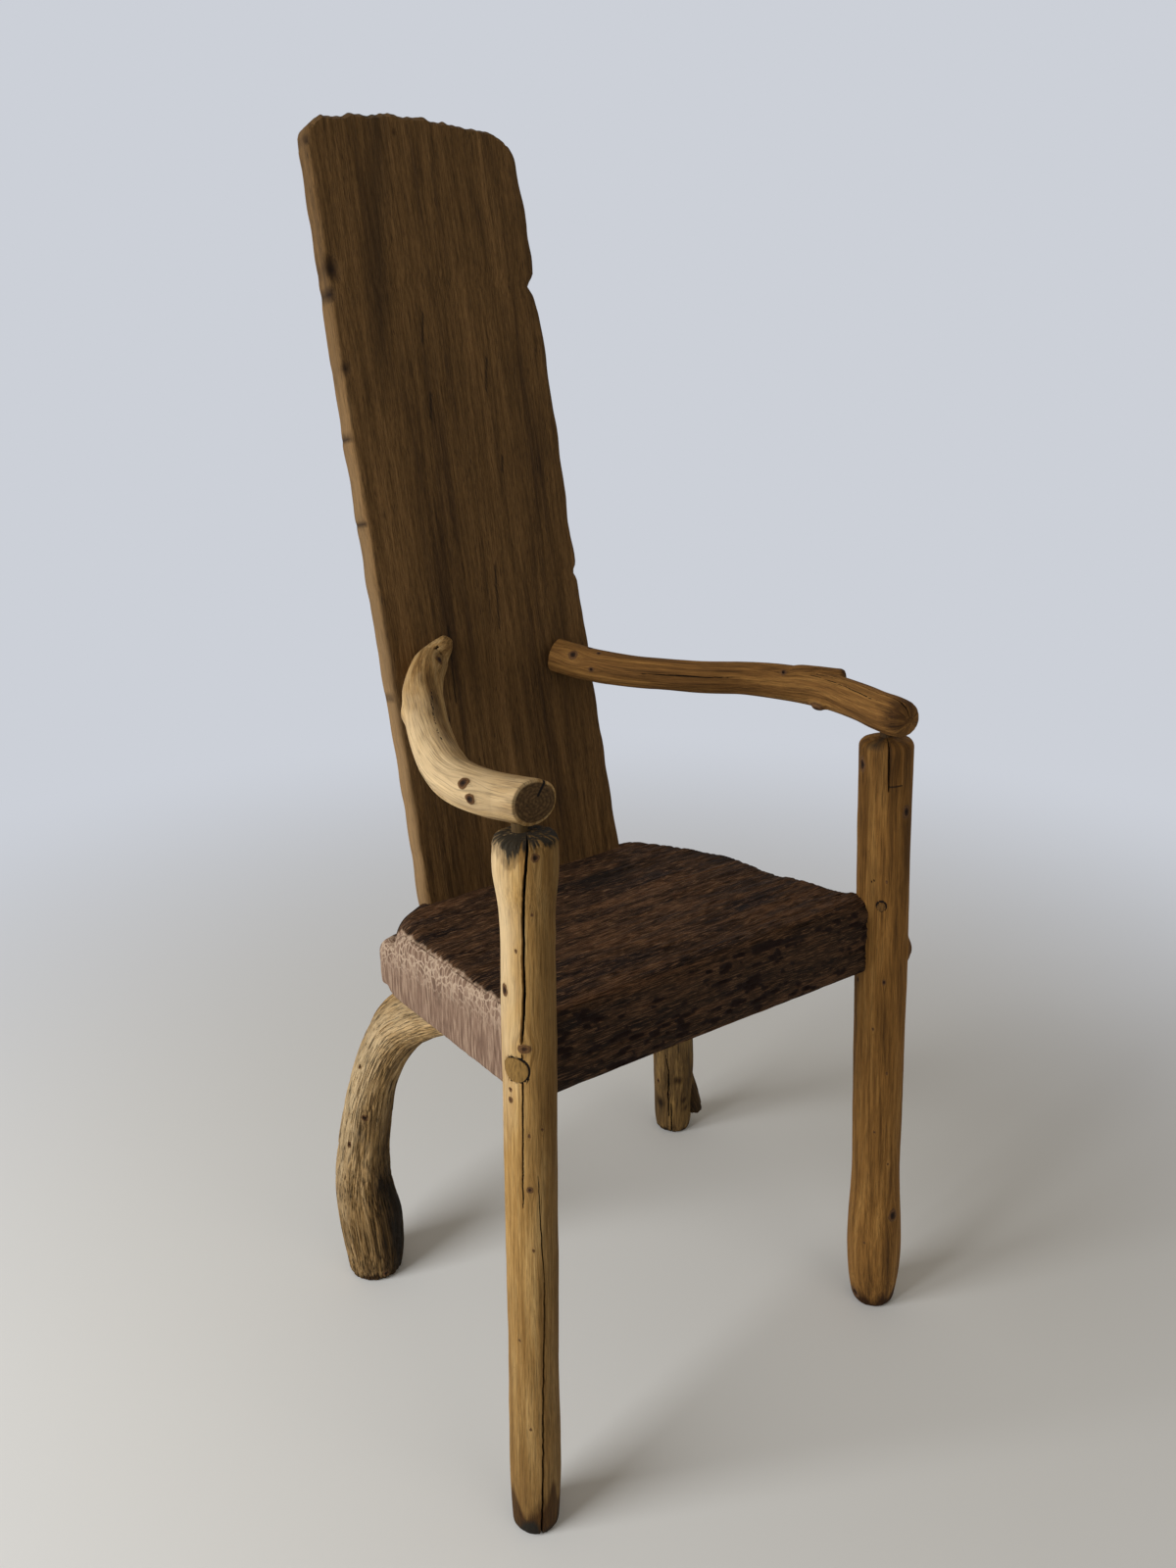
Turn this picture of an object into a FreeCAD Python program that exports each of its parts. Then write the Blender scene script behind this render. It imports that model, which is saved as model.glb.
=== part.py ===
import FreeCAD, Part
import Sketcher
import math
import os

# Driftwood armchair: one thick seat slab, a tall raked plank as the back, two straight
# round front posts that carry the arms, two crooked rear legs and two crooked arms.
# Z is up, the front of the chair looks along -Y, and the origin lies on the floor
# under the middle of the chair. All lengths are in millimetres, all angles in degrees.

SIZES = {
    # Fits and cuts
    "fit_clearance": 0.3,
    "cut_overrun": 30,
    # Seat slab: plan corners, thickness and worn edges
    "seat_height": 485,
    "seat_thickness": 77,
    "slab_front_left_x": -218,
    "slab_front_left_y": -165.6,
    "slab_front_right_x": 164,
    "slab_front_right_y": -179,
    "slab_rear_left_x": -232,
    "slab_rear_y": 74,
    "slab_rear_right_x": 57,
    "slab_waist_x": 128.5,
    "slab_front_round": 14,
    "slab_side_bevel": 10,
    "slab_wane_round": 45,
    "slab_corner_wear": 55,
    "slab_hollow_spacing": 68,
    "slab_hollow_width": 56,
    "slab_hollow_depth": 2.5,
    # Back board: rake, outline and thickness
    "board_rake_angle": 11.1,
    "board_face_y": 59,
    "board_left_x": -182,
    "board_right_x": 46.5,
    "board_top_left_x": -190,
    "board_top_right_x": 16.5,
    "board_thickness": 24,
    "board_above_seat": 682,
    "board_below_seat": 64,
    "board_left_corner_round": 20,
    "board_right_corner_round": 24,
    "board_edge_bevel": 3.5,
    "board_upper_notch_height": 550,
    "board_upper_notch_depth": 10,
    "board_lower_notch_height": 284,
    "board_lower_notch_depth": 6,
    # Front left post
    "left_post_foot_x": -236,
    "left_post_foot_y": -192,
    "left_post_top_x": -219,
    "left_post_top_y": -171.5,
    "left_post_height": 644,
    "left_post_diameter": 42.5,
    # Front right post
    "right_post_foot_x": 207,
    "right_post_foot_y": -190,
    "right_post_top_x": 171,
    "right_post_top_y": -168.5,
    "right_post_height": 640,
    "right_post_diameter": 49,
    # Round tenons on the post tops, and the rim round them
    "post_tenon_diameter": 12,
    "post_tenon_length": 24,
    "post_rim_round": 6,
    # Rear legs
    "left_leg_foot_x": -212,
    "left_leg_foot_y": 169,
    "left_leg_top_x": -177,
    "left_leg_top_y": 8,
    "left_leg_diameter": 64,
    "right_leg_foot_x": 223.5,
    "right_leg_foot_y": 170,
    "right_leg_top_x": 62,
    "right_leg_top_y": 18,
    "right_leg_diameter": 50,
    "leg_tenon_diameter": 28,
    "leg_tenon_length": 36,
    "leg_stub_height": 92,
    "leg_stub_length": 78,
    "leg_stub_diameter": 35,
    "leg_stub_heading": -37,
    "leg_stub_tilt": -66,
    # Arms: place on the board, girth, outward bow, and the gap left above the post
    "arm_gap": 5,
    "left_arm_board_x": -138,
    "left_arm_board_z": 706,
    "left_arm_diameter": 35,
    "left_arm_bow": 36,
    "right_arm_board_x": -6,
    "right_arm_board_z": 688,
    "right_arm_diameter": 35,
    "right_arm_bow": 40,
    "arm_stub_rise": 7,
    "arm_stub_length": 42,
    "arm_stub_diameter": 26,
    "arm_stub_heading": -44,
    "arm_stub_tilt": 4,
    # Coach screws under wooden plugs, through the front posts into the slab
    "post_screw_below_seat": 23,
    "left_screw_angle": 46,
    "left_screw_offset": 7,
    "right_screw_angle": 160,
    "right_screw_offset": 0,
    "post_screw_diameter": 8,
    "post_screw_length": 90,
    "post_screw_head_width": 13,
    "post_screw_head_height": 5.5,
    "plug_diameter": 20,
    "plug_length": 11,
    # Small peg in the face of the right post
    "peg_diameter": 8,
    "peg_length": 9,
    "peg_below_seat": 4,
    "peg_angle": 38,
    # Coach screws and washers that hold the board to the slab
    "board_screw_diameter": 8,
    "board_screw_length": 70,
    "board_screw_reach": 62,
    "board_screw_below_seat": 32,
    "board_screw_head_width": 13,
    "board_screw_head_height": 5.5,
    "washer_diameter": 24,
    "washer_thickness": 2,
    # Wood screws that hold the arms to the board
    "arm_screw_diameter": 6,
    "arm_screw_bite": 34,
    "arm_screw_head_diameter": 12,
    "arm_screw_head_depth": 3.5,
}

doc = FreeCAD.newDocument("driftwood_armchair")
sheet = doc.addObject("Spreadsheet::Sheet", "sizes")
for row, (alias, number) in enumerate(SIZES.items(), start=1):
    sheet.set(f"A{row}", alias)
    sheet.set(f"B{row}", str(number))
    sheet.setAlias(f"B{row}", alias)
doc.recompute()

PIECES = []


# Reading the sheet

def size(alias):
    """One named size, read back from the sheet."""
    return float(getattr(sheet, alias))


def cell(alias):
    """The same size as an expression writes it."""
    return f"sizes.{alias}"


def seat_underside():
    return size("seat_height") - size("seat_thickness")


SEAT_UNDERSIDE = "(sizes.seat_height - sizes.seat_thickness)"
RAKE = "(sizes.board_rake_angle * 1deg)"


# Bodies, sketches and features

def new_body(label):
    body = doc.addObject("PartDesign::Body", label)
    body.Label = label
    PIECES.append(body)
    return body


def origin_plane(body, role):
    return next(item for item in body.Origin.OriginFeatures if item.Role == role)


def new_sketch(body, name, role, offsets=None, axis=None, angle=None):
    """A sketch on an origin plane, shifted and turned by expressions."""
    sketch = body.newObject("Sketcher::SketchObject", name)
    sketch.AttachmentSupport = [(origin_plane(body, role), "")]
    sketch.MapMode = "FlatFace"
    if axis is not None:
        turn = FreeCAD.Rotation(axis, float(sketch.evalExpression(angle)))
        sketch.AttachmentOffset = FreeCAD.Placement(FreeCAD.Vector(), turn)
        sketch.setExpression("AttachmentOffset.Rotation.Angle", angle)
    for direction, expression in (offsets or {}).items():
        sketch.setExpression(f"AttachmentOffset.Base.{direction}", expression)
    return sketch


def add_circle(sketch, diameter, across=None, up=None):
    """One circle whose diameter, and place if it has one, are bound to the sheet."""
    width = sketch.evalExpression(diameter)
    if across is None:
        index = sketch.addGeometry(Part.Circle(FreeCAD.Vector(), FreeCAD.Vector(0, 0, 1), width / 2))
        sketch.addConstraint(Sketcher.Constraint("Coincident", index, 3, -1, 1))
    else:
        spot = FreeCAD.Vector(sketch.evalExpression(across), sketch.evalExpression(up))
        index = sketch.addGeometry(Part.Circle(spot, FreeCAD.Vector(0, 0, 1), width / 2))
        for kind, value, expression in (("DistanceX", spot.x, across), ("DistanceY", spot.y, up)):
            number = sketch.addConstraint(Sketcher.Constraint(kind, -1, 1, index, 3, value))
            sketch.setExpression(f"Constraints[{number}]", expression)
    number = sketch.addConstraint(Sketcher.Constraint("Diameter", index, width))
    sketch.setExpression(f"Constraints[{number}]", diameter)


def circle_sketch(body, name, role, diameter, offsets=None, axis=None, angle=None):
    sketch = new_sketch(body, name, role, offsets, axis, angle)
    add_circle(sketch, diameter)
    return sketch


def outline_sketch(body, name, role, corners, offsets=None):
    """A closed outline of straight lines whose corners are bound to the sheet."""
    sketch = new_sketch(body, name, role, offsets)
    spots = [[sketch.evalExpression(part) for part in corner] for corner in corners]
    count = len(corners)
    for index in range(count):
        here = FreeCAD.Vector(*spots[index])
        there = FreeCAD.Vector(*spots[(index + 1) % count])
        sketch.addGeometry(Part.LineSegment(here, there))
    for index in range(count):
        sketch.addConstraint(Sketcher.Constraint("Coincident", index, 2, (index + 1) % count, 1))
    for index in range(count):
        for kind, value, expression in zip(("DistanceX", "DistanceY"), spots[index], corners[index]):
            number = sketch.addConstraint(Sketcher.Constraint(kind, -1, 1, index, 1, value))
            sketch.setExpression(f"Constraints[{number}]", expression)
    return sketch


def pad(body, sketch, length, reverse=False):
    feature = body.newObject("PartDesign::Pad", sketch.Name + "_pad")
    feature.Profile = sketch
    feature.setExpression("Length", length)
    feature.Reversed = reverse
    return feature


def pocket(body, sketch, length, reverse=False):
    """A pocket, with a test that it really takes wood away."""
    doc.recompute()
    before = body.Shape.Volume
    feature = body.newObject("PartDesign::Pocket", sketch.Name + "_pocket")
    feature.Profile = sketch
    feature.setExpression("Length", length)
    feature.Reversed = reverse
    doc.recompute()
    if not body.Shape.Volume < before:
        raise RuntimeError(f"{feature.Name} cuts nothing")
    return feature


def round_edges(body, name, radius, wanted):
    """Round those edges of the body's last feature that the test picks."""
    doc.recompute()
    base = body.Tip
    names = [f"Edge{index}" for index, edge in enumerate(base.Shape.Edges, start=1) if wanted(edge)]
    feature = body.newObject("PartDesign::Fillet", name)
    feature.Base = (base, names)
    feature.setExpression("Radius", radius)
    doc.recompute()
    return feature


def bevel_edges(body, name, width, wanted):
    """Bevel those edges of the body's last feature that the test picks."""
    doc.recompute()
    base = body.Tip
    names = [f"Edge{index}" for index, edge in enumerate(base.Shape.Edges, start=1) if wanted(edge)]
    feature = body.newObject("PartDesign::Chamfer", name)
    feature.Base = (base, names)
    feature.setExpression("Size", width)
    doc.recompute()
    return feature


def is_upright(edge):
    box = edge.BoundBox
    return box.ZLength > box.XLength + box.YLength


def is_level_at(edge, height):
    box = edge.BoundBox
    near = size("fit_clearance")
    return abs(box.ZMin - height) < near and abs(box.ZMax - height) < near


# Plain shapes and turns

def vector(*parts):
    return FreeCAD.Vector(*parts)


UP = vector(0, 0, 1)


def add_feature(label, shape):
    """A piece whose shape follows no sketch or primitive."""
    piece = doc.addObject("Part::Feature", label)
    piece.Label = label
    piece.Shape = shape
    piece.Placement = FreeCAD.Placement()
    PIECES.append(piece)
    return piece


def heading(turn, tilt=0):
    """Unit vector at an angle from +X in plan, raised by a tilt."""
    flat = math.cos(math.radians(tilt))
    turned = math.radians(turn)
    return vector(flat * math.cos(turned), flat * math.sin(turned), math.sin(math.radians(tilt)))


def rod(diameter, length, base, direction):
    return Part.makeCylinder(diameter / 2, length, base, direction)


# Places that several pieces share

def board_normal():
    """Unit vector out of the back of the board."""
    rake = math.radians(size("board_rake_angle"))
    return vector(0, math.cos(rake), -math.sin(rake))


def board_frame():
    """Placement of the board's own axes: X across, Z up the board, Y through it."""
    turn = FreeCAD.Rotation(vector(1, 0, 0), -size("board_rake_angle"))
    return FreeCAD.Placement(vector(0, size("board_face_y"), size("seat_height")), turn)


def on_board(across, height):
    """Point on the front face of the board at a height above the floor."""
    rise = height - size("seat_height")
    rake = math.radians(size("board_rake_angle"))
    return vector(across, size("board_face_y") + rise * math.tan(rake), height)


def post_axis(side, height):
    """Centre of a front post at a height."""
    share = height / size(f"{side}_post_height")
    foot = vector(size(f"{side}_post_foot_x"), size(f"{side}_post_foot_y"), 0)
    top = vector(size(f"{side}_post_top_x"), size(f"{side}_post_top_y"), 0)
    spot = foot + (top - foot) * share
    spot.z = height
    return spot


def post_direction(side):
    """Unit vector up a leaning front post."""
    return (post_axis(side, size(f"{side}_post_height")) - post_axis(side, 0)).normalize()


def post_line(side, axis, height):
    """Expression for one coordinate of a front post's centre at a height."""
    foot = cell(f"{side}_post_foot_{axis}")
    top = cell(f"{side}_post_top_{axis}")
    return f"({foot} + ({top} - {foot}) * ({height}) / {cell(f'{side}_post_height')})"


# Seat slab

# Points of the waney right edge, from the front corner to the rear one: shares of the
# way from the waist to the corner across, and of the slab's depth
WANE_SHARES = (
    ("front", 1.00, 0.10),
    ("front", 0.57, 0.27),
    ("front", 0.16, 0.45),
    ("front", 0.00, 0.64),
    ("rear", 0.36, 0.83),
    ("rear", 0.69, 0.94),
)


def slab_corners():
    """Plan corners of the slab, from the front left round to the rear left."""
    front = cell("slab_front_right_y")
    rear = cell("slab_rear_y")
    waist = cell("slab_waist_x")
    ends = {"front": cell("slab_front_right_x"), "rear": cell("slab_rear_right_x")}
    corners = [(cell("slab_front_left_x"), cell("slab_front_left_y")), (ends["front"], front)]
    for end, across_share, depth_share in WANE_SHARES:
        across = f"{waist} + ({ends[end]} - {waist}) * {across_share}"
        corners.append((across, f"{front} + ({rear} - {front}) * {depth_share}"))
    corners.append((ends["rear"], rear))
    corners.append((cell("slab_rear_left_x"), rear))
    return corners


def is_wane_corner(edge):
    """Upright edges of the right side between the front corner and the rear one."""
    box = edge.BoundBox
    inside = box.YMin > size("slab_front_right_y") + size("fit_clearance")
    return is_upright(edge) and inside and box.XMin > size("slab_rear_right_x") + size("fit_clearance")


def is_front_top(edge):
    box = edge.BoundBox
    front = max(size("slab_front_left_y"), size("slab_front_right_y"))
    return is_level_at(edge, size("seat_height")) and box.YMax < front + size("fit_clearance")


def is_side_top(edge):
    box = edge.BoundBox
    right = box.XMin > size("slab_rear_right_x") - size("fit_clearance")
    return is_level_at(edge, size("seat_height")) and right


def build_seat_slab():
    body = new_body("seat_slab")
    plan = outline_sketch(body, "slab_plan", "XY_Plane", slab_corners(), {"z": SEAT_UNDERSIDE})
    pad(body, plan, cell("seat_thickness"))
    round_edges(body, "slab_wane_rounding", cell("slab_wane_round"), is_wane_corner)
    bevel_edges(body, "slab_side_bevelling", cell("slab_side_bevel"), is_side_top)
    round_edges(body, "slab_front_rounding", cell("slab_front_round"), is_front_top)
    cut_worn_corner(body)
    cut_hollows(body)
    cut_board_housing(body)
    cut_leg_mortises(body)
    cut_board_pilots(body)
    cut_post_pilot(body, "left")
    cut_post_pilot(body, "right")


# Worn rear left corner seen from the left, at the end of the slab and where the back board
# begins: shares of the wear forward of the rear edge, and down from the top
WORN_END_SHARES = ((1.00, 0.00), (0.58, 0.17), (0.26, 0.45), (0.20, 0.72), (0.22, 1.00), (0.42, 1.42))
WORN_INNER_SHARES = ((0.27, 0.00), (0.20, 0.03), (0.13, 0.10), (0.08, 0.72), (0.14, 1.00), (0.42, 1.42))


def worn_corners(shares):
    """Outline of the wood worn off the rear left corner, in a plane across the grain."""
    rear = cell("slab_rear_y")
    top = cell("seat_height")
    over = cell("cut_overrun")
    wear = cell("slab_corner_wear")
    corners = []
    for forward_share, down_share in shares:
        corners.append((f"{rear} - {wear} * {forward_share}", f"{top} - {wear} * {down_share}"))
    low = f"{top} - {wear} * {shares[-1][1]}"
    return corners + [(f"{rear} + {over}", low), (f"{rear} + {over}", f"{top} + {over}")]


def cut_worn_corner(body):
    """The corner left of the board, worn round more and more toward the end of the slab."""
    inner = {"z": f"{cell('board_left_x')} - {cell('fit_clearance')}"}
    outer = {"z": f"{cell('slab_rear_left_x')} - {cell('fit_clearance')}"}
    small = outline_sketch(body, "worn_inner", "YZ_Plane", worn_corners(WORN_INNER_SHARES), inner)
    large = outline_sketch(body, "worn_end", "YZ_Plane", worn_corners(WORN_END_SHARES), outer)
    feature = body.newObject("PartDesign::SubtractiveLoft", "worn_corner")
    feature.Profile = small
    feature.Sections = [large]
    feature.Ruled = True
    doc.recompute()


# Long shallow hollows of the seat: steps forward of the board, in hollow spacings
HOLLOW_STEPS = (1, 2, 3)


def cut_hollows(body):
    """Shallow troughs worn in the top along the grain."""
    top = cell("seat_height")
    half = f"{cell('slab_hollow_width')} / 2"
    start = {"z": f"{cell('slab_rear_left_x')} - {cell('cut_overrun')}"}
    for step in HOLLOW_STEPS:
        middle = f"({cell('board_face_y')} - {step} * {cell('slab_hollow_spacing')})"
        corners = [(f"{middle} - {half}", top), (middle, f"{top} - {cell('slab_hollow_depth')}")]
        corners.append((f"{middle} + {half}", top))
        trough = outline_sketch(body, f"hollow_{step}", "YZ_Plane", corners, start)
        width = f"{cell('slab_front_right_x')} - {cell('slab_rear_left_x')} + 2 * {cell('cut_overrun')}"
        pocket(body, trough, width, reverse=True)


def cut_board_housing(body):
    """Raked recess in the rear edge, open at the back, top and underside."""
    over = cell("cut_overrun")
    face = cell("board_face_y")
    rear = f"{cell('slab_rear_y')} + {over}"
    top = f"{cell('seat_height')} + {over}"
    under = f"{SEAT_UNDERSIDE} - {over}"
    low_face = f"{face} - ({cell('seat_thickness')} + {over}) * tan({RAKE})"
    corners = [(f"{face} + {over} * tan({RAKE})", top), (low_face, under), (rear, under), (rear, top)]
    left = f"{cell('board_left_x')} - {cell('fit_clearance')}"
    profile = outline_sketch(body, "board_housing", "YZ_Plane", corners, {"z": left})
    width = f"{cell('board_right_x')} - {cell('board_left_x')} + 2 * {cell('fit_clearance')}"
    pocket(body, profile, width, reverse=True)


def cut_leg_mortises(body):
    """Blind round holes in the underside, one for each rear leg."""
    width = f"{cell('leg_tenon_diameter')} + 2 * {cell('fit_clearance')}"
    for side in ("left", "right"):
        place = {"x": cell(f"{side}_leg_top_x"), "y": cell(f"{side}_leg_top_y"), "z": SEAT_UNDERSIDE}
        hole = circle_sketch(body, f"{side}_leg_mortise", "XY_Plane", width, place)
        pocket(body, hole, cell("leg_tenon_length"), reverse=True)


def board_middle():
    return f"(({cell('board_left_x')} + {cell('board_right_x')}) / 2)"


def cut_board_pilots(body):
    """Holes for the coach screws of the board, square to its raked face."""
    low = cell("board_screw_below_seat")
    place = {
        "y": f"{cell('seat_height')} - {low} * cos({RAKE})",
        "z": f"-({cell('board_face_y')} - {low} * sin({RAKE}))",
    }
    holes = new_sketch(body, "board_pilots", "XZ_Plane", place, vector(1, 0, 0), f"-{RAKE}")
    width = f"{cell('board_screw_diameter')} + {cell('fit_clearance')}"
    for step in (-1, 1):
        across = f"{board_middle()} + {step} * {cell('board_screw_reach')}"
        add_circle(holes, width, across, cell("fit_clearance"))
    depth = f"{cell('board_screw_length')} - {cell('board_thickness')}"
    pocket(body, holes, depth, reverse=True)


def screw_angle(side):
    return f"({cell(f'{side}_screw_angle')} * 1deg)"


def post_bore_place(side, back):
    """Place of a bore sketch on the line of a post screw, a distance back from the post's centre."""
    height = f"({cell('seat_height')} - {cell('post_screw_below_seat')})"
    angle = screw_angle(side)
    aside = cell(f"{side}_screw_offset")
    return {
        "x": f"{post_line(side, 'y', height)} - ({back}) * sin({angle}) + {aside} * cos({angle})",
        "y": height,
        "z": f"{post_line(side, 'x', height)} - ({back}) * cos({angle}) - {aside} * sin({angle})",
    }


def cut_post_pilot(body, side):
    """Hole in the slab for the coach screw through a front post."""
    width = f"{cell('post_screw_diameter')} + {cell('fit_clearance')}"
    place = post_bore_place(side, "0")
    angle = screw_angle(side)
    hole = circle_sketch(body, f"{side}_post_pilot", "YZ_Plane", width, place, vector(0, 1, 0), angle)
    pocket(body, hole, cell("post_screw_length"), reverse=True)


# Back board

# Long edges of the board from the seat up: share of its height above the seat, and share
# of the inward drift between the foot of the board and its top corner
BOARD_LEFT_SHARES = ((0.18, 0.10), (0.40, 0.55), (0.59, 0.85), (0.80, 1.02))
BOARD_RIGHT_SHARES = ((0.13, 0.16), (0.36, 0.45), (0.60, 0.60), (0.76, 0.78), (0.88, 0.86))
# Wavy top edge: share of the way from the right corner to the left one, and of the height
BOARD_TOP_SHARES = ((0.30, 1.004), (0.62, 1.007), (0.82, 0.999))
# Notches in the right edge: share of the inward drift there, and the reach of the V
# below and above its point as shares of its depth
NOTCH_DRIFT_SHARES = {"upper": 0.81, "lower": 0.50}
NOTCH_REACH_SHARES = (1.5, 2.0)


def board_corners():
    """Outline of the board in its own axes, counted from the seat level."""
    high = cell("board_above_seat")
    left = cell("board_left_x")
    right = cell("board_right_x")
    top_left = cell("board_top_left_x")
    top_right = cell("board_top_right_x")
    low = f"-{cell('board_below_seat')}"
    corners = [(left, low), (right, low)]
    for up_share, drift_share in BOARD_RIGHT_SHARES:
        corners.append((f"{right} + ({top_right} - {right}) * {drift_share}", f"{high} * {up_share}"))
    corners.append((top_right, high))
    for across_share, up_share in BOARD_TOP_SHARES:
        across = f"{top_right} + ({top_left} - {top_right}) * {across_share}"
        corners.append((across, f"{high} * {up_share}"))
    corners.append((top_left, high))
    for up_share, drift_share in reversed(BOARD_LEFT_SHARES):
        corners.append((f"{left} + ({top_left} - {left}) * {drift_share}", f"{high} * {up_share}"))
    return corners


def is_board_top_corner(edge, across):
    """Short edge through the board at one of its top corners."""
    box = edge.BoundBox
    near = size("fit_clearance")
    return box.XLength < near and box.ZLength < near and abs(box.XMin - across) < near and box.ZMin > 0


def is_board_rim(edge):
    """Edges round the front and back faces, without the hidden lower end."""
    box = edge.BoundBox
    return box.YLength < size("fit_clearance") and box.ZMax > 0


def notch_corners(notch):
    """A small V on the right edge of the board."""
    right = cell("board_right_x")
    edge = f"({right} + ({cell('board_top_right_x')} - {right}) * {NOTCH_DRIFT_SHARES[notch]})"
    high = cell(f"board_{notch}_notch_height")
    deep = cell(f"board_{notch}_notch_depth")
    below_share, above_share = NOTCH_REACH_SHARES
    outside = f"{edge} + {deep}"
    low = (outside, f"{high} - {below_share} * {deep}")
    return [(f"{edge} - {deep}", high), low, (outside, f"{high} + {above_share} * {deep}")]


def arm_board_height(side):
    """Where an arm meets the board, measured up the board from the seat level."""
    return f"(({cell(f'{side}_arm_board_z')} - {cell('seat_height')}) / cos({RAKE}))"


def build_back_board():
    body = new_body("back_board")
    body.Placement = board_frame()
    body.setExpression("Placement.Base.y", cell("board_face_y"))
    body.setExpression("Placement.Base.z", cell("seat_height"))
    body.setExpression("Placement.Rotation.Angle", f"-{RAKE}")
    outline = outline_sketch(body, "board_outline", "XZ_Plane", board_corners())
    pad(body, outline, cell("board_thickness"), reverse=True)
    for side in ("left", "right"):
        corner = size(f"board_top_{side}_x")
        radius = cell(f"board_{side}_corner_round")
        round_edges(body, f"board_{side}_corner", radius, lambda edge: is_board_top_corner(edge, corner))
    bevel_edges(body, "board_rim", cell("board_edge_bevel"), is_board_rim)
    for notch in NOTCH_DRIFT_SHARES:
        shape = outline_sketch(body, f"{notch}_notch", "XZ_Plane", notch_corners(notch))
        pocket(body, shape, cell("board_thickness"))
    cut_board_holes(body)


def cut_board_holes(body):
    """Clearance holes for the coach screws and the arm screws, and seats for the arm screw heads."""
    coach = new_sketch(body, "coach_holes", "XZ_Plane")
    width = f"{cell('board_screw_diameter')} + {cell('fit_clearance')}"
    for step in (-1, 1):
        across = f"{board_middle()} + {step} * {cell('board_screw_reach')}"
        add_circle(coach, width, across, f"-{cell('board_screw_below_seat')}")
    pocket(body, coach, cell("board_thickness"))
    shanks = new_sketch(body, "arm_screw_holes", "XZ_Plane")
    heads = new_sketch(body, "arm_screw_seats", "XZ_Plane", {"z": f"-{cell('board_thickness')}"})
    for side in ("left", "right"):
        across = cell(f"{side}_arm_board_x")
        up = arm_board_height(side)
        add_circle(shanks, f"{cell('arm_screw_diameter')} + {cell('fit_clearance')}", across, up)
        add_circle(heads, f"{cell('arm_screw_head_diameter')} + {cell('fit_clearance')}", across, up)
    pocket(body, shanks, cell("board_thickness"))
    pocket(body, heads, cell("arm_screw_head_depth"), reverse=True)


# Front posts

# Girth of each post from the floor to its rim: share of the height, share of the diameter
LEFT_POST_SHARES = ((0.000, 0.92), (0.010, 1.00), (0.910, 1.00), (0.965, 1.13), (1.000, 1.10))
RIGHT_POST_SHARES = ((0.000, 0.88), (0.014, 1.00), (1.000, 1.00))
# Rounded rim of a post: shares of the rim's radius down from the top, and in from the side
RIM_SHARES = ((0.6, 0.08), (0.2, 0.4), (0.0, 1.0))


def post_length(side):
    """Expression for the length of a leaning post from the floor to its top."""
    run_x = f"({cell(f'{side}_post_top_x')} - {cell(f'{side}_post_foot_x')})"
    run_y = f"({cell(f'{side}_post_top_y')} - {cell(f'{side}_post_foot_y')})"
    return f"sqrt({run_x} ^ 2 + {run_y} ^ 2 + {cell(f'{side}_post_height')} ^ 2)"


def post_outline(side, shares):
    """Half of a post and its tenon seen from the side: radius across, length up."""
    length = post_length(side)
    rim = cell("post_rim_round")
    girth = cell(f"{side}_post_diameter")
    below = f"-{cell('cut_overrun')}"
    corners = [("0", below), (f"{girth} * {shares[0][1]} / 2", below)]
    for length_share, girth_share in shares:
        corners.append((f"{girth} * {girth_share} / 2", f"({length} - {rim}) * {length_share}"))
    for down_share, in_share in RIM_SHARES:
        radius = f"{girth} * {shares[-1][1]} / 2 - {rim} * {in_share}"
        corners.append((radius, f"{length} - {rim} * {down_share}"))
    tenon = f"{cell('post_tenon_diameter')} / 2"
    end = f"{length} + {cell('post_tenon_length')}"
    return corners + [(tenon, length), (tenon, end), ("0", end)]


def build_post_trunk(body, side, shares):
    """The turned trunk with its tenon, set on its lean, then cut level at the floor."""
    outline = outline_sketch(body, f"{side}_post_outline", "XY_Plane", post_outline(side, shares))
    across = post_direction(side).cross(UP)
    upright = FreeCAD.Rotation(across, post_direction(side), vector(), "YXZ")
    outline.AttachmentOffset = FreeCAD.Placement(post_axis(side, 0), upright)
    trunk = body.newObject("PartDesign::Revolution", f"{side}_post_trunk")
    trunk.Profile = outline
    trunk.ReferenceAxis = (outline, ["V_Axis"])
    trunk.Angle = 360
    over = cell("cut_overrun")
    foot = (cell(f"{side}_post_foot_x"), cell(f"{side}_post_foot_y"))
    reach = cell(f"{side}_post_diameter")
    corners = [
        (f"{foot[0]} - {reach}", f"{foot[1]} - {reach}"),
        (f"{foot[0]} + {reach}", f"{foot[1]} - {reach}"),
        (f"{foot[0]} + {reach}", f"{foot[1]} + {reach}"),
        (f"{foot[0]} - {reach}", f"{foot[1]} + {reach}"),
    ]
    below_floor = outline_sketch(body, f"{side}_post_foot_cut", "XY_Plane", corners)
    pocket(body, below_floor, f"{over} + {reach}")


def slab_front_slope():
    """Run of the slab's front edge toward the front for each millimetre to the right."""
    rise = f"({cell('slab_front_right_y')} - {cell('slab_front_left_y')})"
    return f"({rise} / ({cell('slab_front_right_x')} - {cell('slab_front_left_x')}))"


def left_housing_corners():
    """Slab corner in the left post: along the front edge, and along the left end."""
    corner_x = cell("slab_front_left_x")
    corner_y = cell("slab_front_left_y")
    reach = cell("left_post_diameter")
    skew = f"(({cell('slab_rear_left_x')} - {corner_x}) / ({cell('slab_rear_y')} - {corner_y}))"
    return [
        (corner_x, corner_y),
        (f"{corner_x} + {reach}", f"{corner_y} + {reach} * {slab_front_slope()}"),
        (f"{corner_x} + {reach}", f"{corner_y} + {reach}"),
        (f"{corner_x} + {reach} * {skew}", f"{corner_y} + {reach}"),
    ]


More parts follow.
